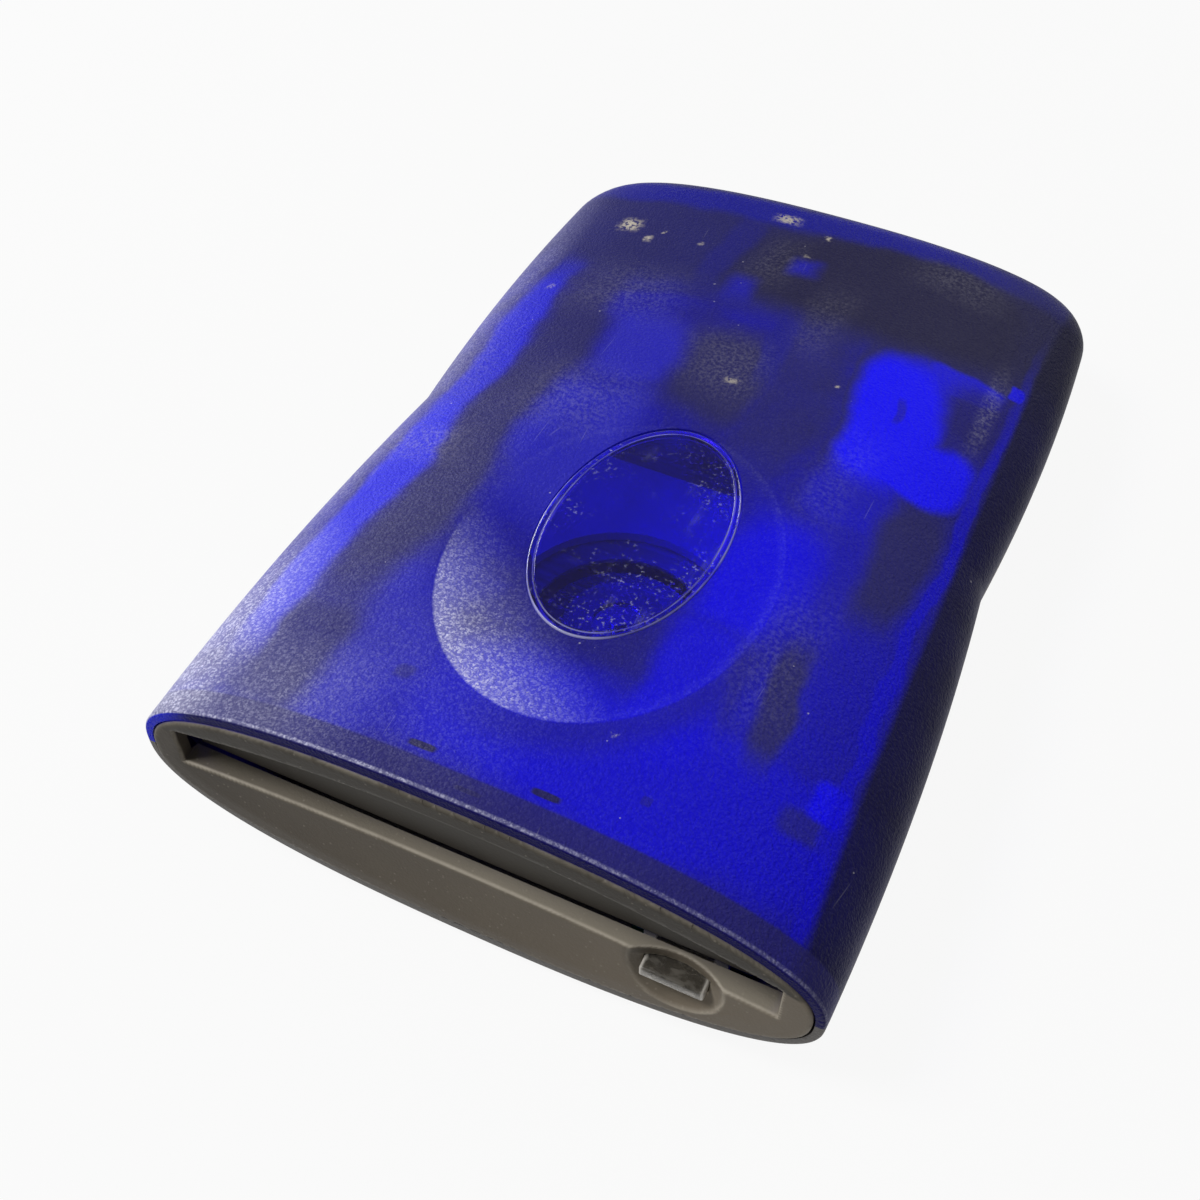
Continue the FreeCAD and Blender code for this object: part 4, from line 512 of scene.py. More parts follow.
def blueShellMaterial():
    made, tree = newMaterial("blue_shell")
    point = objectPoint(tree)
    warped = point
    for scale, reach in blueShell["warps"]:
        warped = warpedPoint(tree, warped, scale, reach)
    mottle = band(tree, noise(tree, warped, 60.0, 4.0, 0.6).outputs[0], 0.36, 0.62)
    shade = mixColour(tree, mottle, colour(*blueShell["deep"]), colour(*blueShell["base"]))
    # painted light and painted shadow seen through the shell
    for layer in lightAndShadowUnderShell:
        place = point if layer.get("still") else warped
        mask = patchMask(tree, place, layer["patches"], layer["soft"])
        shade = mixColour(tree, mask, shade, colour(*layer["tone"]))
    shade = mixColour(tree, dishShade(tree, point), shade, colour(*blueShell["deep"]))
    light = grainPoints(tree, point, blueShell["grain"])
    x = node(tree, "SeparateXYZ", {0: point}).outputs[0]
    # painted sheen: dull light at the left and in the dish, brightest on the grain's tops
    paintedSheen = maths(tree, "MAXIMUM", dishPaintedSheen(tree, point), patchMask(tree, warped, shellSheenAndDust["paintedSheen"], 0.75))
    # painted highlight along the shells' front edge, stronger at the left
    edge = alongEdge(tree, point, (0.10, 0.30), (0.45, 0.95), 0.40)
    edge = maths(tree, "MULTIPLY", edge, band(tree, x, -0.03, 0.05, 1.0, 0.4))
    paintedSheen = maths(tree, "MAXIMUM", paintedSheen, edge)
    paintedSheen = maths(tree, "MULTIPLY", paintedSheen, maths(tree, "MULTIPLY_ADD", light, 1.25, 0.42), clamp=True)
    shade = mixColour(tree, paintedSheen, shade, colour(*shellSheenAndDust["light"]))
    film = band(tree, noise(tree, point, 1500.0, 4.0, 0.6).outputs[0], 0.38, 0.72)
    film = maths(tree, "MULTIPLY", film, patchMask(tree, warped, shellSheenAndDust["clouds"], 0.8))
    dusty = maths(tree, "MAXIMUM", film, speckMask(tree, point))
    shade = mixColour(tree, dusty, shade, colour(*shellSheenAndDust["dust"]))
    crumb = patchMask(tree, warpedPoint(tree, point, 900.0, 0.0018), shellSheenAndDust["crumbs"], 0.8)
    grit = band(tree, noise(tree, point, 1400.0, 2.0).outputs[0], 0.36, 0.56)
    crumb = maths(tree, "MULTIPLY", crumb, grit)
    shade = mixColour(tree, crumb, shade, colour(*shellSheenAndDust["crumb"]))
    # the shells' front face, dark, with painted light at its left corner
    face = mixColour(tree, band(tree, x, -0.052, -0.044, 1.0, 0.0), colour(*blueShell["face"]),
                     colour(*blueShell["paintedFaceGlint"]))
    shade = mixColour(tree, alongEdge(tree, point, (-2.0, -1.0), (0.05, 0.2), 1.0), shade, face)
    bump = grainBump(tree, point, blueShell["grain"], blueShell["grainDepth"])
    rough = band(tree, mottle, 0.0, 1.0, blueShell["rough"] + 0.05, blueShell["rough"], "LINEAR")
    skin = node(tree, "BsdfPrincipled", {"Base Color": shade, "Roughness": rough, "Normal": bump,
                                         "Specular IOR Level": blueShell["gloss"]})
    finishWith(tree, lightPast(tree, skin, blueShell["light"]))
    return made


bezelTones = {
    # painted shade and light: the face darker to the left and lighter to the right
    "left": (64, 58, 50),
    "right": (112, 103, 90),
    # painted light on the slot's floor, brighter to the right
    "floorLeft": (78, 72, 64),
    "floorRight": (134, 127, 114),
    "strip": (54, 50, 44),       # painted shade on the strip above the slot
    # painted shade on the scoop's left side
    "paintedShade": (30, 27, 24),
    # edge wear, with painted highlight on the edges and in the scoop
    "wornAndLit": (164, 156, 142),
    "speck": (168, 160, 146),
    "grain": 0.0005,
    "grainDepth": 0.00004,
}


def bezelMaterial():
    made, tree = newMaterial("bezel_plastic")
    point = objectPoint(tree)
    x, y, z = node(tree, "SeparateXYZ", {0: point}).outputs
    cloudy = noise(tree, point, 70.0, 4.0, 0.6).outputs[0]
    across = maths(tree, "MULTIPLY_ADD", cloudy, 0.03, x)
    # painted shade: darker to the left, lighter to the right
    shade = mixColour(tree, band(tree, across, -0.040, 0.060, kind="LINEAR"), colour(*bezelTones["left"]),
                      colour(*bezelTones["right"]))
    arch = maths(tree, "MULTIPLY", maths(tree, "MULTIPLY", x, x), -2.76)  # the slot's arched top
    # painted shade on the strip above the slot's arched top
    above = band(tree, maths(tree, "SUBTRACT", z, arch), 0.0341, 0.0347)
    shade = mixColour(tree, above, shade, colour(*bezelTones["strip"]))
    # painted light on the slot's floor, brighter to the right
    floor = mixColour(tree, band(tree, across, -0.050, 0.020, kind="LINEAR"),
                      colour(*bezelTones["floorLeft"]), colour(*bezelTones["floorRight"]))
    level = maths(tree, "ABSOLUTE", maths(tree, "SUBTRACT", z, 0.0194))    # the slot's floor
    near = band(tree, level, 0.00005, 0.0002, 1.0, 0.0)
    onFloor = maths(tree, "MULTIPLY", near, band(tree, y, -0.0853, -0.0849))
    shade = mixColour(tree, onFloor, shade, floor)
    cells = node(tree, "TexVoronoi", {"Vector": point, "Scale": 1500.0, "Randomness": 1.0})
    chance = node(tree, "SeparateColor", {0: cells.outputs["Color"]}).outputs[0]
    chosen = maths(tree, "LESS_THAN", chance, 0.09)
    speck = maths(tree, "MULTIPLY", chosen, band(tree, cells.outputs["Distance"], 0.1, 0.42, 0.24, 0.0))
    shade = mixColour(tree, speck, shade, colour(*bezelTones["speck"]))
    # painted shade on the scoop's left side
    paintedShade = node(tree, "Attribute", attribute_name="scoopDirt").outputs["Fac"]
    shade = mixColour(tree, paintedShade, shade, colour(*bezelTones["paintedShade"]))
    # edge wear with painted highlight on the edges and in the scoop
    wornAndLit = node(tree, "Attribute", attribute_name="edgeWear").outputs["Fac"]
    uneven = band(tree, noise(tree, point, 260.0, 3.0).outputs[0], 0.30, 0.60, 0.55, 1.0)
    wornAndLit = maths(tree, "MULTIPLY", wornAndLit, uneven)
    shade = mixColour(tree, wornAndLit, shade, colour(*bezelTones["wornAndLit"]))
    bump = grainBump(tree, point, bezelTones["grain"], bezelTones["grainDepth"])
    shader = node(tree, "BsdfPrincipled", {"Base Color": shade, "Roughness": 0.5, "Normal": bump,
                                           "Specular IOR Level": 0.14})
    finishWith(tree, shader.outputs[0])
    return made


def buttonMaterial():  # clear, with edges painted milky and bright, partly as painted highlight, fine scuffs, and painted shade under the arch
    made, tree = newMaterial("clear_button")
    point = objectPoint(tree)
    x, y, z = node(tree, "SeparateXYZ", {0: point}).outputs
    across, tall = key["half"]
    fromX = maths(tree, "ABSOLUTE", maths(tree, "SUBTRACT", x, key["centre"][0] * mm))
    fromZ = maths(tree, "SUBTRACT", key["centre"][1] * mm, z)
    # edges painted milky and bright, partly standing for highlight
    sides = band(tree, fromX, (across - 0.8) * mm, (across - 0.25) * mm, 0.0, 0.75)
    foot = band(tree, fromZ, (tall - 0.55) * mm, (tall - 0.2) * mm, 0.0, 0.9)
    edge = maths(tree, "MAXIMUM", sides, foot)
    drawn = node(tree, "Mapping", {"Vector": point, "Scale": (0.5, 1.0, 1.0)}).outputs[0]
    scuffs = noise(tree, drawn, 900.0, 4.0).outputs[0]
    milk = maths(tree, "MAXIMUM", edge, band(tree, scuffs, 0.44, 0.66, 0.20, 0.80))
    under = band(tree, fromZ, -0.9 * tall * mm, 0.3 * tall * mm)    # painted shade: darker towards the top, under the arch
    # lit and shaded copies of the glass tint and the milky colour
    tint = mixColour(tree, under, colour(74, 71, 66), colour(150, 146, 138))
    milky = mixColour(tree, under, colour(92, 88, 81), colour(168, 163, 154))
    milky = mixColour(tree, edge, milky, colour(214, 209, 200))
    glass = node(tree, "BsdfPrincipled", {"Base Color": tint, "Roughness": 0.06,
                                          "Transmission Weight": 1.0, "IOR": 1.49})
    cloudy = node(tree, "BsdfPrincipled", {"Base Color": milky, "Roughness": 0.3})
    body = node(tree, "MixShader", {0: milk, 1: glass.outputs[0], 2: cloudy.outputs[0]})
    finishWith(tree, lightPast(tree, body, tint))
    return made


def lensMaterial():  # clear blue, with two painted highlight rings at its rim, dust and wipe marks
    made, tree = newMaterial("clear_lens")
    point = objectPoint(tree)
    away = vectors(tree, "SUBTRACT", point, (0, (case["rim"] + window["depth"]) * mm, 0))[0]
    away = vectors(tree, "MULTIPLY", away, (1, 1, 0))[0]
    half = (window["across"] * mm, window["along"] * mm, 1)
    reach = vectors(tree, "DIVIDE", away, half)[0]
    reach = vectors(tree, "LENGTH", reach)["Value"]
    length = vectors(tree, "LENGTH", away)["Value"]
    inset = maths(tree, "MULTIPLY", maths(tree, "SUBTRACT", 1.0, reach), length)
    inset = maths(tree, "ADD", inset, maths(tree, "LESS_THAN", reach, 0.7))
    # painted highlight: two bright rings just inside the rim
    rings = band(tree, inset, 0.00030, 0.00052, 0.85, 0.0)
    inner = maths(tree, "ABSOLUTE", maths(tree, "SUBTRACT", inset, 0.0013))
    rings = maths(tree, "MAXIMUM", rings, band(tree, inner, 0.00006, 0.00018, 0.45, 0.0))
    broken = band(tree, noise(tree, point, 130.0, 2.0).outputs[0], 0.35, 0.6, 0.35, 1.0)
    rings = maths(tree, "MULTIPLY", rings, broken)
    wiped = node(tree, "Mapping", {"Vector": point, "Rotation": (0, 0, 0.5),
                                   "Scale": (1.0, 0.16, 1.0)}).outputs[0]
    wiped = band(tree, noise(tree, wiped, 330.0, 3.0, 0.6).outputs[0], 0.56, 0.74, 0.0, 0.20)
    patches = band(tree, noise(tree, point, 75.0, 3.0, 0.6).outputs[0], 0.42, 0.66)
    film = maths(tree, "MULTIPLY", wiped, patches)
    fine = band(tree, noise(tree, point, 1500.0, 2.0).outputs[0], 0.58, 0.70, 0.0, 0.4)
    fine = maths(tree, "MULTIPLY", fine, patches)
    film = maths(tree, "MAXIMUM", maths(tree, "MAXIMUM", film, fine), speckMask(tree, point))
    film = maths(tree, "MAXIMUM", film, rings)
    glass = node(tree, "BsdfPrincipled", {"Base Color": colour(62, 34, 255), "Roughness": 0.04,
                                          "Transmission Weight": 1.0, "IOR": 1.49,
                                          "Specular IOR Level": 0.2})
    dusty = node(tree, "BsdfPrincipled", {"Base Color": colour(164, 164, 204), "Roughness": 0.6})
    body = node(tree, "MixShader", {0: film, 1: glass.outputs[0], 2: dusty.outputs[0]})
    finishWith(tree, lightPast(tree, body, colour(120, 100, 255)))
    return made


finishes["blue_shell"] = blueShellMaterial()
finishes["bezel_plastic"] = bezelMaterial()
finishes["clear_lens"] = lensMaterial()
finishes["clear_button"] = buttonMaterial()


# the upper shell
def sectionAt(depth, inset, sides, sense):
    toEnd = case["length"] - case["bezelProud"] - inset - depth
    radius = case["upperRearRadius"] if sense > 0 else case["lowerRearRadius"]
    rise = topRise(depth) if sense > 0 else case["lowerDepth"]
    width = halfWidth(depth) - sides - rounding(toEnd, case["cornerRadius"] - inset)
    return width, rise - inset - rounding(toEnd, radius - inset)


def rowOf(depth, inset, sides, sense, steps, at=None):
    width, rise = sectionAt(depth, inset, sides, sense)
    power = 2 / case["power"]
    row = []
    for step in range(steps + 1):
        angle = math.pi * step / steps
        x = math.copysign(abs(math.cos(angle)) ** power, math.cos(angle)) * width
        height = rise * math.sin(angle) ** power
        if sense > 0:
            height -= dishDrop(x, depth, width, rise)
        row.append((x, case["rim"] + (depth if at is None else at), case["parting"] + sense * height))
    return row


def shellRows(inset, sides, sense, steps, stations):
    return [rowOf(depth, inset, sides, sense, steps) for depth in stations]


def endStations(inset, count):
    length = case["length"] - case["bezelProud"] - inset
    corner = case["cornerRadius"] - inset
    return [length - corner * (1 - math.sin(math.radians(90 * turn / count))) for turn in range(count + 1)]


def halfShell(name, sense, steps, spacing):
    edge = case["edgeRadius"]
    outer = []
    for turn in range(5):  # the rounded front edge
        angle = math.radians(90 * turn / 4)
        inset = edge * (1 - math.sin(angle))
        outer.append(rowOf(0, inset, inset, sense, steps, edge * (1 - math.cos(angle))))
    last = endStations(0, 16)
    count = int((last[0] - edge) / spacing)
    along = [edge + (last[0] - edge) * step / count for step in range(1, count)]
    outer += shellRows(0, 0, sense, steps, along + last)
    innerEnd = endStations(case["wall"], 16)
    inner = shellRows(case["wall"], case["sideWall"], sense, steps,
                      [innerEnd[0] * step / count for step in range(count)] + innerEnd)
    while len(inner) < len(outer):
        inner.insert(1, inner[1])
    points = []
    faces = []
    width = steps + 1

    def addRows(rows, flip):
        first = len(points)
        for row in rows:
            points.extend(row)
        for i in range(len(rows) - 1):
            for j in range(steps):
                a = first + i * width + j
                quad = (a, a + 1, a + width + 1, a + width)
                faces.append(quad[::-1] if flip else quad)
        return first

    outerFirst = addRows(outer, False)
    innerFirst = addRows(inner, True)
    rows = len(outer)
    for j in range(steps):  # the front face
        faces.append((outerFirst + j, outerFirst + j + 1, innerFirst + j + 1, innerFirst + j))
    for i in range(rows - 1):  # the parting faces
        for j in (0, steps):
            a = outerFirst + i * width + j
            b = innerFirst + i * width + j
            faces.append((a, a + width, b + width, b))
    for first in (outerFirst, innerFirst):  # the flat rear
        start = first + (rows - 1) * width
        low = [(points[start + j][0], points[start + j][1], case["parting"]) for j in range(width)]
        base = len(points)
        points.extend(low)
        for j in range(steps):
            faces.append((start + j, start + j + 1, base + j + 1, base + j))
        if first == outerFirst:
            outerLow = base
        else:
            for j in range(steps):
                faces.append((outerLow + j, outerLow + j + 1, base + j + 1, base + j))
    return meshPiece(name, points, faces)


def ovalColumn(across, along, depth, low, high, count=160, x=0.0):
    points = []
    for z in (low, high):
        for step in range(count):
            angle = 2 * math.pi * step / count
            points.append((x + across * math.cos(angle), case["rim"] + depth + along * math.sin(angle), z))
    faces = [tuple(range(count))[::-1], tuple(range(count, 2 * count))]
    for step in range(count):
        after = (step + 1) % count
        faces.append((step, after, count + after, count + step))
    return meshPiece("ovalColumn", points, faces)


topShell = halfShell("top_shell", 1, 150, 0.9)
opening = ovalColumn(window["across"], window["along"], window["depth"], case["parting"], 50)
topShell = cutBy(topShell, [opening])
finishIn(topShell, finishes["blue_shell"])
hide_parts("top_cover")
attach(topShell, "housing")
print("upper shell:", len(topShell.data.polygons), "faces")


# the lower shell, with the feet's seats, the screws' wells and the openings in its rear
wells = {
    "boss": ((47.5, 116.0), (41.0, 152.5)),   # x, depth
    "bossBore": 2.7,
    "bossSeat": 13.0,
    "foot": ((30.0, 22.0), (30.0, 146.0)),
    "footRadius": 5.5,
    "footGap": 0.1,
    "footSeat": 1.7,
    "socket": (18.0, 12.5, 10.0, 21.6),       # centre x, width, low and high
}


def boxPiece(low, high):
    corners = [(x, y, z) for z in (low[2], high[2]) for y in (low[1], high[1]) for x in (low[0], high[0])]
    faces = [(0, 2, 3, 1), (4, 5, 7, 6), (0, 1, 5, 4), (1, 3, 7, 5), (3, 2, 6, 7), (2, 0, 4, 6)]
    return meshPiece("box", corners, faces)


lowerCuts = []
for mirror in (-1, 1):
    for x, depth in wells["boss"]:
        bore = wells["bossBore"]
        lowerCuts.append(ovalColumn(bore, bore, depth, -1, wells["bossSeat"], 48, mirror * x))
    for x, depth in wells["foot"]:
        radius = wells["footRadius"] + wells["footGap"]
        lowerCuts.append(ovalColumn(radius, radius, depth, -1, wells["footSeat"], 64, mirror * x))
socketX, socketWide, socketLow, socketHigh = wells["socket"]
lowerCuts.append(boxPiece((socketX - socketWide / 2, 80, socketLow),
                          (socketX + socketWide / 2, 90, socketHigh)))
lowerShell = halfShell("lower_shell", -1, 120, 1.6)
lowerShell = cutBy(lowerShell, lowerCuts)
finishIn(lowerShell, finishes["grey_shell"])
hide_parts("bottom_cover")
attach(lowerShell, "housing")
print("lower shell:", len(lowerShell.data.polygons), "faces")

# the bezel: a skin over (x, z) whose depth follows the hollowed face, the scoop and the rounded edges
bezel = {
    "gap": 0.3,
    "proud": 0.4,
    "edge": 0.55,
    "skin": 1.3,
    "plateBack": 2.0,
    "back": 5.0,
    "wall": 1.2,
    "hollow": (1.4, 51.5, 13.6, 21.0),   # depth, half width, half height, centre's height
    "mouthHalf": 49.6,
    "mouthFloor": 19.4,
    "mouthSide": 27.6,
    "mouthCrest": 34.4,
    "mouthEdge": 0.35,
    "ledge": 3.55,
    "ledgeThickness": 1.4,
    "scoop": (33.8, 17.6, 8.3, 3.3),     # x, height, rim radius, depth
    "scoopEdge": 0.04,
    "aperture": (33.8, 15.7, 5.2, 1.25),
    "apertureEdge": 0.15,
    "grid": 0.75,
}


def bezelRing(inset, count=220):
    width = case["frontHalfWidth"] - case["sideWall"] - bezel["gap"] - inset
    power = 2 / case["power"]
    ring = []
    for step in range(count):
        angle = 2 * math.pi * step / count
        depth = case["frontRise"] if angle < math.pi else case["lowerDepth"]
        rise = depth - case["wall"] - bezel["gap"] - inset
        ring.append((math.copysign(abs(math.cos(angle)) ** power, math.cos(angle)) * width,
                     case["parting"] + math.copysign(abs(math.sin(angle)) ** power, math.sin(angle)) * rise))
    return ring


def mouthTop(x):
    return bezel["mouthCrest"] - (bezel["mouthCrest"] - bezel["mouthSide"]) * (x / bezel["mouthHalf"]) ** 2


def mouthRing(grow=0.0):
    half = bezel["mouthHalf"] + grow
    low = bezel["mouthFloor"] - grow
    across = [half * (1 - 2 * step / 130) for step in range(131)]
    ring = [(-x, low) for x in across]
    ring += [(half, low + (mouthTop(half) + grow - low) * step / 12) for step in range(1, 12)]
    ring += [(x, mouthTop(x) + grow) for x in across]
    ring += [(-half, low + (mouthTop(half) + grow - low) * step / 12) for step in range(11, 0, -1)]
    return ring


def boxRing(grow=0.0):
    x, z, wide, tall = bezel["aperture"]
    wide += grow
    tall += grow
    ring = [(x - wide + 2 * wide * step / 14, z - tall) for step in range(14)]
    ring += [(x + wide, z - tall + 2 * tall * step / 4) for step in range(4)]
    ring += [(x + wide - 2 * wide * step / 14, z + tall) for step in range(14)]
    return ring + [(x - wide, z + tall - 2 * tall * step / 4) for step in range(4)]


def ringTree(ring):
    dense = []
    for index, (x, z) in enumerate(ring):
        after = ring[(index + 1) % len(ring)]
        dense += [(x + (after[0] - x) * part / 6, 0, z + (after[1] - z) * part / 6) for part in range(6)]
    tree = KDTree(len(dense))
    for index, point in enumerate(dense):
        tree.insert(point, index)
    tree.balance()
    return tree


bezelEdges = [(ringTree(bezelRing(0)), bezel["edge"]), (ringTree(mouthRing()), bezel["mouthEdge"]),
              (ringTree(boxRing()), bezel["apertureEdge"])]


def bezelDepth(x, z, rounded=True):
    hollow, half, tall, middle = bezel["hollow"]
    sunk = max(0.0, hollow * (1 - (x / half) ** 2 - ((z - middle) / tall) ** 2))
    centre, height, rim, deep = bezel["scoop"]
    ball = (rim ** 2 + deep ** 2) / (2 * deep)
    away = (x - centre) ** 2 + (z - height) ** 2
    if away < ball ** 2:
        scoop = deep - ball + math.sqrt(ball ** 2 - away)
        sunk = -softLeast(-sunk, -scoop, bezel["scoopEdge"])
    if rounded:
        for tree, radius in bezelEdges:
            sunk += rounding(tree.find((x, 0, z))[2], radius)
    return sunk - bezel["proud"]


def bezelRear(x, z):  # the back of the skin, which reaches further under the slot to carry its ledge
    under = bezel["mouthFloor"] - z
    if abs(x) < bezel["mouthHalf"] + 0.4 and -0.01 < under < bezel["ledgeThickness"]:
        return bezel["ledge"]
    return max(bezel["plateBack"], bezelDepth(x, z, False) + bezel["skin"])


def onBezel(x, z):
    width = case["frontHalfWidth"] - case["sideWall"] - bezel["gap"]
    depth = case["frontRise"] if z > case["parting"] else case["lowerDepth"]
    rise = depth - case["wall"] - bezel["gap"]
    if (abs(x) / width) ** case["power"] + (abs(z - case["parting"]) / rise) ** case["power"] > 1:
        return False
    if abs(x) < bezel["mouthHalf"] and bezel["mouthFloor"] < z < mouthTop(x):
        return False
    centre, height, wide, tall = bezel["aperture"]
    return abs(x - centre) > wide or abs(z - height) > tall


def spread(start, end, gap):
    count = max(1, round((end - start) / gap))
    return [start + (end - start) * step / count for step in range(count + 1)]


def bezelPoints():
    loops = [bezelRing(0), mouthRing(), boxRing()]
    loose = []
    for inset in (0.05, 0.16, 0.33, 0.55):
        loose += bezelRing(inset)
    for grow in (0.04, 0.12, 0.3):
        loose += mouthRing(grow)
    loose += boxRing(0.15)
    taken = KDTree(sum(map(len, loops)) + len(loose))
    for index, (x, z) in enumerate([point for loop in loops for point in loop] + loose):
        taken.insert((x, 0, z), index)
    taken.balance()
    centre, height, rim, _ = bezel["scoop"]
    step = bezel["grid"]
    grid = [(x, z) for x in spread(-54, 54, step) for z in spread(4.5, 38, step)]
    for radius in spread(0.6, rim + 0.8, 0.35):
        count = int(2 * math.pi * radius / 0.6) + 6
        grid += [(centre + radius * math.cos(2 * math.pi * turn / count),
                  height + radius * math.sin(2 * math.pi * turn / count)) for turn in range(count)]
    loose += [(x, z) for x, z in grid if onBezel(x, z) and taken.find((x, 0, z))[2] > 0.3]
    return loops, loose


def strip(points, faces, front, back):
    first = len(points)
    count = len(front)
    points.extend(front + back)
    for step in range(count):
        after = (step + 1) % count
        faces.append((first + step, first + after, first + count + after, first + count + step))


def makeBezel():
    loops, loose = bezelPoints()
    flat = []
    edges = []
    for loop in loops:
        first = len(flat)
        flat += [Vector(point) for point in loop]
        edges += [(first + step, first + (step + 1) % len(loop)) for step in range(len(loop))]
    flat += [Vector(point) for point in loose]
    found, _, triangles, _, _, _ = delaunay_2d_cdt(flat, edges, [], 0, 1e-5)
    triangles = [tuple(t) for t in triangles if onBezel(*(sum((found[i] for i in t), Vector((0, 0))) / 3))]
    rim = case["rim"]
    front = [(x, rim + bezelDepth(x, z), z) for x, z in found]
    rear = [(x, rim + bezelRear(x, z), z) for x, z in found]
    count = len(found)
    behind = [(x, rim + min(bezelDepth(x, z) + 0.35, bezelRear(x, z) - 0.1), z) for x, z in found]
    points = front + rear + behind
    faces = triangles + [tuple(count + i for i in reversed(t)) for t in triangles]
    uses = {}
    for a, b, c in triangles:
        for pair in ((a, b), (b, c), (c, a)):
            uses[pair] = uses.get(pair, 0) + 1
    for a, b in uses:
        if (b, a) not in uses:
            faces.append((b, a, 2 * count + a, 2 * count + b))
            faces.append((2 * count + b, 2 * count + a, count + a, count + b))
    start, end = rim + bezel["edge"] - bezel["proud"], rim + bezel["back"]
    rings = [[(x, y, z) for x, z in bezelRing(inset)] for y, inset in
             ((start, 0), (end, 0), (end, bezel["wall"]), (start, bezel["wall"]))]
    for step in range(3):  # the flange that runs back inside the shells
        strip(points, faces, rings[step], rings[step + 1])
    return meshPiece("bezel_face", points, faces, 40)


def bezelWearAndHighlight(x, z):  # how worn, and how bright with painted highlight, the edge is at a place on the face, 0 to 1
    outer, slot, opening = (tree.find((x, 0, z))[2] for tree, _ in bezelEdges)
    low = z < bezel["mouthFloor"] + 0.5
    wornAndLit = (0.85 if low else 0.5) * math.exp(-(slot / 0.24) ** 2)
    if slot < 0.24 and x > 49:
        wornAndLit = 1.0
    wornAndLit = max(wornAndLit, (0.6 if z < case["parting"] else 0.35) * math.exp(-(outer / 0.45) ** 2))
    wornAndLit = max(wornAndLit, 0.5 * math.exp(-(opening / 0.25) ** 2))
    centre, height, rim, deep = bezel["scoop"]
    ball = (rim ** 2 + deep ** 2) / (2 * deep)
    away = (x - centre) ** 2 + (z - height) ** 2
    if away < ball ** 2:
        hollow, half, tall, middle = bezel["hollow"]
        sunk = max(0.0, hollow * (1 - (x / half) ** 2 - ((z - middle) / tall) ** 2))
        step = deep - ball + math.sqrt(ball ** 2 - away) - sunk
        # painted highlight on the scoop's rim, stronger to the right and below
        lit = 0.35 + 0.45 * max(0.0, ((x - centre) - (z - height)) / rim)
        wornAndLit = max(wornAndLit, lit * math.exp(-(step / 0.22) ** 2))
        if step > 0 and z < height:    # painted highlight: light gathered low in the scoop
            wornAndLit = max(wornAndLit, 0.30 * math.exp(-((math.sqrt(away) - rim * 0.62) / 1.3) ** 2))
    return min(1.0, wornAndLit)


def bezelScoopShade(x, z):  # painted shade on the scoop's left side
    centre, height, rim, deep = bezel["scoop"]
    away = math.hypot(x - centre, z - height) / rim
    side = max(0.0, (centre - x) / rim)
    return max(0.0, 1 - away ** 6) * min(1.0, 1.5 * side) * 0.6


# edge wear with painted highlight, and painted shade in the scoop, for each point of the bezel's face
def addWearHighlightAndShade(item):
    wearAndHighlight = item.data.attributes.new("edgeWear", "FLOAT", "POINT")
    paintedShade = item.data.attributes.new("scoopDirt", "FLOAT", "POINT")
    for index, vertex in enumerate(item.data.vertices):
        x, y, z = vertex.co / mm
        onFront = y - case["rim"] < bezelDepth(x, z) + 0.05
        wearAndHighlight.data[index].value = bezelWearAndHighlight(x, z) if onFront else 0.0
        paintedShade.data[index].value = bezelScoopShade(x, z) if onFront else 0.0
    return item


bezelFace = addWearHighlightAndShade(makeBezel())
finishIn(bezelFace, finishes["bezel_plastic"])
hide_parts("front_bezel")
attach(bezelFace, "housing")
print("bezel:", len(bezelFace.data.polygons), "faces")


# the window's lens: a domed oval with a stepped rim
lens = {
    "crown": 0.7,
    "arch": 0.45,
    "thickness": 2.2,
    "profile": ((0.0, 2.2), (0.0, 0.42), (0.07, 0.2), (0.22, 0.05), (0.45, 0.0), (0.95, 0.0), (1.02, 0.1),
                (1.2, 0.13), (1.38, 0.1), (1.45, 0.0), (1.9, 0.0)),   # inset from the edge, drop
    "turns": 180,
    "rings": 14,
}


def lensHeight(x, depth):
    lean = (case["frontRise"] - case["rearRise"]) / case["length"]
    away = depth - window["depth"]
    top = case["parting"] + topRise(window["depth"]) - dish["hollow"] + window["rise"]
    crown = lens["crown"] * (x / window["across"]) ** 2
    arch = lens["arch"] * (away / window["along"]) ** 2
    return top - away * lean - crown - arch


def makeLens():
    turns = lens["turns"]
    across, along = window["across"] - window["gap"], window["along"] - window["gap"]
    last = lens["profile"][-1][0]
    inner = [last + (across - last) * step / lens["rings"] for step in range(1, lens["rings"])]
    rows = [(inset, lens["thickness"]) for inset in reversed(inner)]
    rows += list(lens["profile"]) + [(inset, 0.0) for inset in inner]
    points = []
    for inset, drop in rows:
        for turn in range(turns):
            angle = 2 * math.pi * turn / turns
            x = (across - inset) * math.cos(angle)
            away = along * (1 - inset / across) * math.sin(angle) if inset > last \
                else (along - inset) * math.sin(angle)
            height = lensHeight(x, window["depth"] + away) - drop
            points.append((x, case["rim"] + window["depth"] + away, height))
    faces = []
    for row in range(len(rows) - 1):
        for turn in range(turns):
            after = (turn + 1) % turns
            a = row * turns
            faces.append((a + turn, a + after, a + turns + after, a + turns + turn))
    middle = len(points)
    points.append((0, case["rim"] + window["depth"], lensHeight(0, window["depth"])))
    points.append((0, case["rim"] + window["depth"], lensHeight(0, window["depth"]) - lens["thickness"]))
    for turn in range(turns):
        after = (turn + 1) % turns
        top = (len(rows) - 1) * turns
        faces.append((top + turn, top + after, middle))
        faces.append((after, turn, middle + 1))
    return meshPiece("lens_dome", points, faces, 45)


lensDome = makeLens()
finishIn(lensDome, finishes["clear_lens"])
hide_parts("window_lens")
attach(lensDome, "housing")


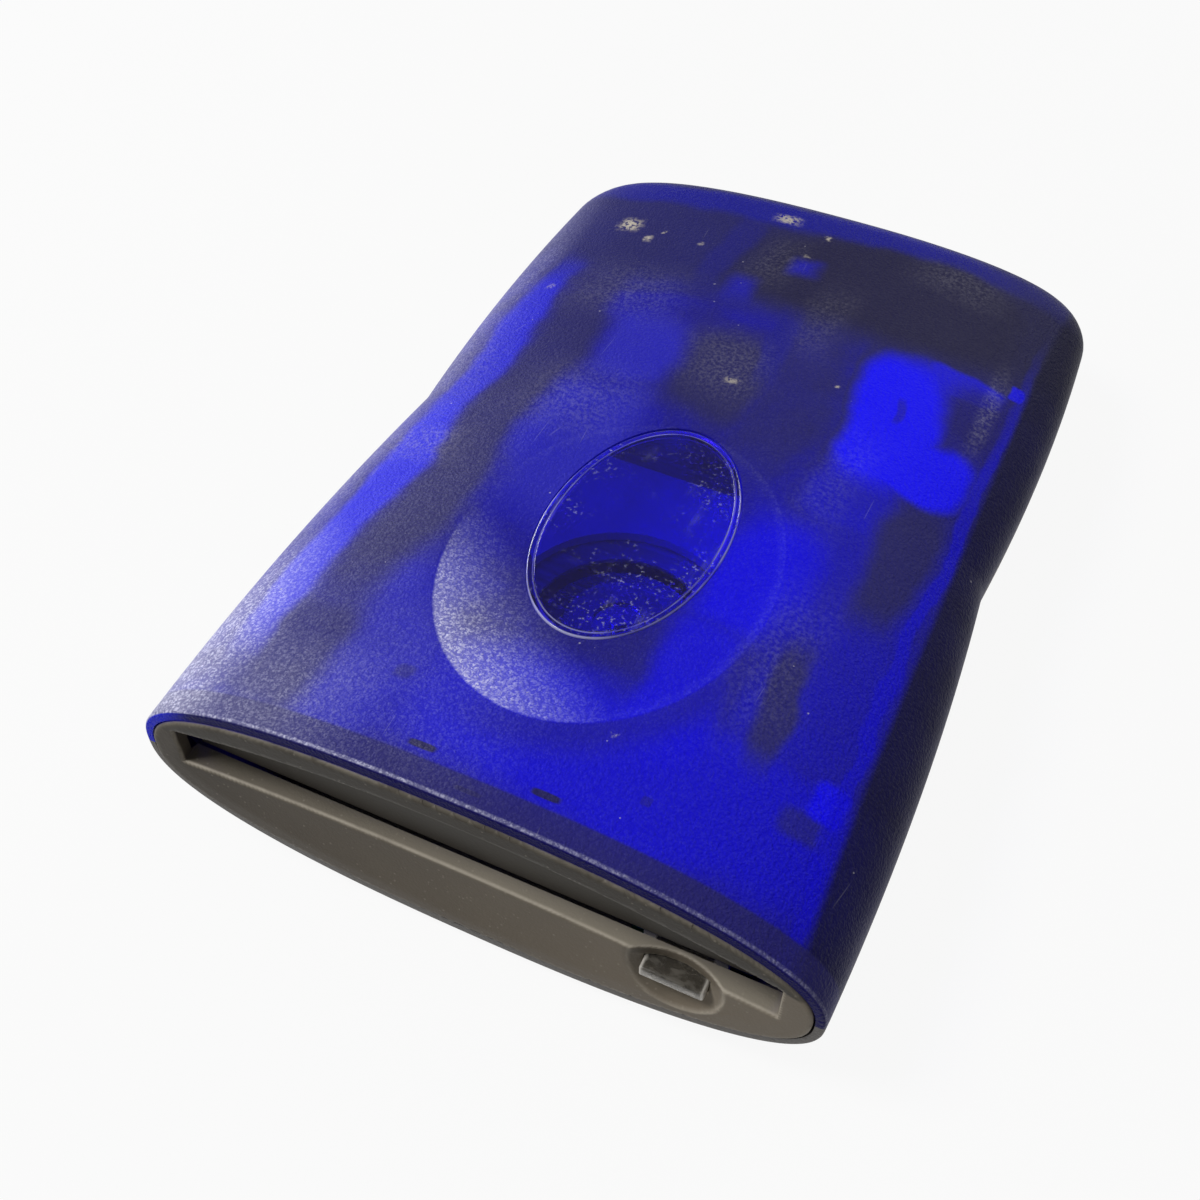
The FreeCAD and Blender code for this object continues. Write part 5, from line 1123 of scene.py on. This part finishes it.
# the eject button
def roundedBlock(name, low, high, radius, material, segments=4):
    item = boxPiece(low, high)
    item.name = item.data.name = name
    shaped = bmesh.new()
    shaped.from_mesh(item.data)
    bmesh.ops.bevel(shaped, geom=list(shaped.edges), offset=radius * mm, segments=segments,
                    profile=0.5, affect="EDGES")
    shaped.to_mesh(item.data)
    shaped.free()
    finishIn(item, material)
    return setSmooth(item, 40)


def joined(name, items):
    whole = bmesh.new()
    for item in items:
        whole.from_mesh(item.data)
    data = bpy.data.meshes.new(name)
    whole.to_mesh(data)
    whole.free()
    data.materials.append(items[0].data.materials[0])
    for item in items:
        bpy.data.objects.remove(item)
    return setSmooth(placed(name, data), 40)


def makeButton():
    x, z = key["centre"]
    wide, tall = key["half"]
    front, back = case["rim"] + key["front"], case["rim"] + key["body"]
    clear = finishes["clear_button"]
    block = roundedBlock("block", (x - wide, front, z - tall), (x + wide, back, z + tall),
                         key["round"], clear)
    flange = roundedBlock("flange", (key["flangeX"][0], back, key["flangeZ"][0]),
                          (key["flangeX"][1], back + key["flangeThick"], key["flangeZ"][1]),
                          key["flangeRound"], clear, 2)
    inset = key["stemInset"]
    stem = roundedBlock("stem", (x - wide + inset, back + key["stemSunk"], key["stemZ"][0]),
                        (x + wide - inset, case["rim"] + key["stemEnd"], key["stemZ"][1]),
                        key["stemRound"], clear, 2)
    return joined("clear_key", [block, flange, stem])


clearKey = makeButton()
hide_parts("eject_button")
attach(clearKey, "button")


# springs and screws: each is drawn once by a node tree and set at its places
def shape(tree, kind, inputs=None, **settings):
    return node(tree, kind, inputs, family="GeometryNode", **settings)


def piecesTree(name, sizes):
    tree = bpy.data.node_groups.new(name, "GeometryNodeTree")
    kinds = {"Places": "Geometry", "Turn": "Vector", "Finish": "Material", "Seed": "Int"}
    kinds.update({size: "Float" for size in sizes})
    for label, kind in kinds.items():
        tree.interface.new_socket(label, in_out="INPUT", socket_type="NodeSocket" + kind)
    tree.interface.new_socket("Pieces", in_out="OUTPUT", socket_type="NodeSocketGeometry")
    return tree, tree.nodes.new("NodeGroupInput").outputs


def setAtPlaces(tree, given, piece):
    copies = shape(tree, "InstanceOnPoints", {"Points": given["Places"], "Instance": piece,
                                              "Rotation": given["Turn"]})
    chance = node(tree, "RandomValue", {"Seed": given["Seed"]}, family="FunctionNode", data_type="FLOAT")
    chance.inputs[3].default_value = math.pi
    about = node(tree, "CombineXYZ", {2: chance.outputs[1]}).outputs[0]
    turned = shape(tree, "RotateInstances", {"Instances": copies.outputs[0], "Rotation": about}).outputs[0]
    plain = shape(tree, "RealizeInstances", {"Geometry": turned}).outputs[0]
    finished = shape(tree, "SetMaterial", {"Geometry": plain, "Material": given["Finish"]}).outputs[0]
    tree.links.new(finished, tree.nodes.new("NodeGroupOutput").inputs[0])
    return tree


def coilTree():  # a coil spring along z whose end turns lie flat
    tree, given = piecesTree("coilSpring", ("Length", "Radius", "Wire", "Turns"))
    middle = maths(tree, "SUBTRACT", given["Radius"], given["Wire"])
    path = shape(tree, "CurveSpiral", {"Resolution": 28, "Rotations": given["Turns"], "Start Radius": middle,
                                       "End Radius": middle, "Height": 0.0}).outputs[0]
    along = shape(tree, "SplineParameter").outputs["Factor"]
    first = maths(tree, "DIVIDE", 0.85, given["Turns"])
    high = maths(tree, "SUBTRACT", given["Length"], given["Wire"])
    height = band(tree, along, first, maths(tree, "SUBTRACT", 1.0, first), given["Wire"], high, "LINEAR")
    rise = node(tree, "CombineXYZ", {2: height}).outputs[0]
    path = shape(tree, "SetPosition", {"Geometry": path, "Offset": rise}).outputs[0]
    wire = shape(tree, "CurvePrimitiveCircle", {"Resolution": 8, "Radius": given["Wire"]}).outputs[0]
    coil = shape(tree, "CurveToMesh", {"Curve": path, "Profile Curve": wire, "Fill Caps": True}).outputs[0]
    return setAtPlaces(tree, given, coil)


def lifted(tree, piece, height):
    up = node(tree, "CombineXYZ", {2: height}).outputs[0]
    return shape(tree, "Transform", {"Geometry": piece, "Translation": up}).outputs[0]


def screwTree():  # its seat is at z = 0, with a cross-slotted head above and a threaded shank below
    labels = ("Head Radius", "Head Height", "Shank Radius", "Shank Length")
    tree, given = piecesTree("crossScrew", labels)
    wide, tall, thick, reach = [given[label] for label in labels]

    def share(size, part):
        return maths(tree, "MULTIPLY", size, part)
    rim = shape(tree, "MeshCylinder", {"Vertices": 40, "Radius": wide, "Depth": share(tall, 0.5)}).outputs[0]
    dome = shape(tree, "MeshCone", {"Vertices": 40, "Radius Top": share(wide, 0.76), "Radius Bottom": wide,
                                    "Depth": share(tall, 0.5)}).outputs[0]
    core = shape(tree, "MeshCylinder", {"Vertices": 28, "Radius": share(thick, 0.82),
                                        "Depth": reach}).outputs[0]
    head = shape(tree, "MeshBoolean", {"Mesh 2": lifted(tree, rim, share(tall, 0.25))}, operation="UNION")
    for part in (lifted(tree, dome, share(tall, 0.5)), lifted(tree, core, share(reach, -0.5))):
        tree.links.new(part, head.inputs["Mesh 2"])
    slots = shape(tree, "MeshBoolean", {"Mesh 1": head.outputs[0]}, operation="DIFFERENCE")
    for across, narrow in ((1.15, 0.24), (0.24, 1.15)):
        size = node(tree, "CombineXYZ", {0: share(wide, across), 1: share(wide, narrow), 2: tall}).outputs[0]
        blade = shape(tree, "MeshCube", {"Size": size}).outputs[0]
        tree.links.new(lifted(tree, blade, tall), slots.inputs["Mesh 2"])
    run = share(reach, 0.86)
    turns = maths(tree, "DIVIDE", run, share(thick, 0.6))
    middle = share(thick, 0.8)
    path = shape(tree, "CurveSpiral", {"Resolution": 20, "Rotations": turns, "Start Radius": middle,
                                       "End Radius": middle, "Height": run}).outputs[0]
    crest = shape(tree, "CurvePrimitiveCircle", {"Resolution": 3, "Radius": share(thick, 0.18)}).outputs[0]
    thread = shape(tree, "CurveToMesh", {"Curve": path, "Profile Curve": crest,
                                         "Fill Caps": True}).outputs[0]
    whole = shape(tree, "JoinGeometry", {0: slots.outputs[0]})
    tree.links.new(lifted(tree, thread, share(reach, -0.95)), whole.inputs[0])
    return setAtPlaces(tree, given, whole.outputs[0])


def setPieces(name, tree, places, turn, finish, values):  # sizes in millimetres, and a count of turns
    data = bpy.data.meshes.new(name)
    data.from_pydata([Vector(place) * mm for place in places], [], [])
    item = placed(name, data)
    step = item.modifiers.new("pieces", "NODES")
    step.node_group = tree
    given = {key: value if key == "Turns" else value * mm for key, value in values.items()}
    given.update({"Turn": turn, "Finish": finishes[finish], "Seed": 7})
    for socket in tree.interface.items_tree:
        if socket.in_out == "INPUT" and socket.name in given:
            step[socket.identifier] = given[socket.name]
    settle(item)
    print(name, "has", len(item.data.polygons), "faces")
    return setSmooth(item, 40)


springs = [
    {"name": "sled_coils", "node": "sled_springs", "body": "sled", "turn": (-math.pi / 2, 0, 0),
     "places": [(side * 38.9, 5.6, 20.6) for side in (-1, 1)],
     "sizes": {"Length": 21.8, "Radius": 1.9, "Wire": 0.25, "Turns": 13.0},
     "squash": {"joint": "sled_slide", "travel": 14.0}},
    {"name": "button_coil", "node": "button_spring", "body": "button", "turn": (-math.pi / 2, 0, 0),
     "places": [(33.8, -79.0, 12.9)],
     "sizes": {"Length": 6.5, "Radius": 1.2, "Wire": 0.175, "Turns": 8.0},
     "squash": {"joint": "button_press", "travel": 1.2}},
    {"name": "flap_coil", "node": "flap_spring", "body": "housing", "turn": (0, math.pi / 2, 0),
     "places": [(-45.4, -79.4, 29.2)],
     "sizes": {"Length": 1.9, "Radius": 1.1, "Wire": 0.21, "Turns": 4.0}},
]
screws = [
    {"name": "case_fixings", "node": "case_screws", "turn": (math.pi, 0, 0),
     "places": [(side * x, y, 13.0) for x, y in ((47.5, 30.9), (41.0, 67.4)) for side in (-1, 1)],
     "sizes": {"Head Radius": 2.6, "Head Height": 1.8, "Shank Radius": 1.3, "Shank Length": 14.1}},
    {"name": "frame_fixings", "node": "chassis_screws", "turn": (0, 0, 0),
     "places": [(side * x, y, 17.0) for x, y in ((18.0, -73.1), (31.0, 58.9)) for side in (-1, 1)],
     "sizes": {"Head Radius": 2.6, "Head Height": 1.3, "Shank Radius": 1.3, "Shank Length": 5.7}},
]
coilSpring, crossScrew = coilTree(), screwTree()
for kind, tree, finish in ((springs, coilSpring, "spring_steel"), (screws, crossScrew, "screw_steel")):
    for entry in kind:
        item = setPieces(entry["name"], tree, entry["places"], entry["turn"], finish, entry["sizes"])
        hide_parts(entry["node"])
        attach(item, entry.get("body", "housing"))
        if "squash" in entry:  # it gets a mesh of its own
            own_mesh(item)

# the nodes that keep their own shape take their finish from the record
for entry in frame["record"]["subparts"]:
    finishIn(frame["nodes"][entry["node"]], finishes[entry["material_slot"]])

# light, floor and camera
studio = {
    "sky": 0.20,
    "floor": (176, 176, 174),
    "floorPale": (186, 186, 185),
    "floorGlow": 0.92,
    "floorHalf": 3.0,        # metres
    "floorGap": 0.05,        # millimetres under the feet
    "lamps": [
        ("key", (-0.50, -0.30, 0.82), (0.30, 0.30), 7.6),
        ("back", (0.20, 0.82, 0.46), (0.30, 0.2), 1.6),
        ("left", (-0.85, 0.42, 0.16), (0.35, 0.3), 3.4),
        ("fill", (0.55, -0.70, 0.30), (0.5, 0.3), 0.5),
    ],
}
photo = {
    "pixels": 1200,
    "focalPixels": 1422.6,
    "sensor": 36.0,
    "yaw": 24.856,
    "pitch": 49.409,
    "roll": 0.413,
    "place": (62.413, -172.095, 205.870),  # millimetres in the row frame
}


def makeCamera():
    yaw, pitch, roll = (math.radians(photo[key]) for key in ("yaw", "pitch", "roll"))
    forward = Vector((-math.sin(yaw) * math.cos(pitch), math.cos(yaw) * math.cos(pitch), -math.sin(pitch)))
    right = forward.cross(Vector((0, 0, 1))).normalized()
    up = right.cross(forward)
    rightTurned = math.cos(roll) * right + math.sin(roll) * up
    upTurned = -math.sin(roll) * right + math.cos(roll) * up
    data = bpy.data.cameras.new("photoCamera")
    data.sensor_width = photo["sensor"]
    data.lens = photo["focalPixels"] / photo["pixels"] * photo["sensor"]
    data.clip_start = 0.01
    item = placed("photoCamera", data)
    turn = Matrix((rightTurned, upTurned, -forward)).transposed().to_4x4()
    item.matrix_world = Matrix.Translation(Vector(photo["place"]) * mm) @ turn
    bpy.context.scene.camera = item


def makeLamps():
    for name, place, shape, power in studio["lamps"]:
        data = bpy.data.lights.new(name, "AREA")
        data.shape = "RECTANGLE"
        data.size, data.size_y = shape
        data.energy = power
        item = placed(name, data)
        item.location = place
        item.rotation_euler = (-Vector(place)).to_track_quat("-Z", "Y").to_euler()


def whiteToEye(tree, share):  # white where it is seen, plain where it lights the object
    path = node(tree, "LightPath").outputs
    seen = maths(tree, "MAXIMUM", path["Is Camera Ray"], path["Is Glossy Ray"])
    seen = maths(tree, "MAXIMUM", seen, path["Is Transmission Ray"])
    return maths(tree, "MULTIPLY", seen, share)


def makeFloor():
    side = studio["floorHalf"]
    made, tree = newMaterial("paleFloor")
    cloudy = noise(tree, objectPoint(tree), 3.0, 2.0).outputs[0]
    tone = mixColour(tree, band(tree, cloudy, 0.3, 0.7), colour(*studio["floor"]),
                     colour(*studio["floorPale"]))
    matt = node(tree, "BsdfDiffuse", {"Color": tone})
    glow = node(tree, "Emission", {"Color": (1, 1, 1, 1), "Strength": 1.0})
    amount = whiteToEye(tree, studio["floorGlow"])
    shader = node(tree, "MixShader", {0: amount, 1: matt.outputs[0], 2: glow.outputs[0]}).outputs[0]
    below = node(tree, "NewGeometry").outputs["Backfacing"]
    clear = node(tree, "BsdfTransparent").outputs[0]
    finishWith(tree, node(tree, "MixShader", {0: below, 1: shader, 2: clear}).outputs[0])
    data = bpy.data.meshes.new("floor")
    height = -studio["floorGap"] * mm
    corners = [(-side, -side, height), (side, -side, height), (side, side, height), (-side, side, height)]
    data.from_pydata(corners, [], [(0, 1, 2, 3)])
    data.materials.append(made)
    placed("floor", data)


def makeWorld():
    world = bpy.data.worlds.new("studioSky")
    world.use_nodes = True
    tree = world.node_tree
    tree.nodes.clear()
    path = node(tree, "LightPath").outputs
    seen = maths(tree, "MAXIMUM", path["Is Camera Ray"], path["Is Transmission Ray"])
    dim = node(tree, "Background", {"Color": (1, 1, 1, 1), "Strength": studio["sky"]})
    white = node(tree, "Background", {"Color": (1, 1, 1, 1), "Strength": 1.0})
    shader = node(tree, "MixShader", {0: seen, 1: dim.outputs[0], 2: white.outputs[0]})
    node(tree, "OutputWorld", {"Surface": shader.outputs[0]})
    bpy.context.scene.world = world


makeCamera()
makeLamps()
makeFloor()
makeWorld()
bpy.context.scene.view_settings.view_transform = "Standard"
print("camera, lamps and floor made")
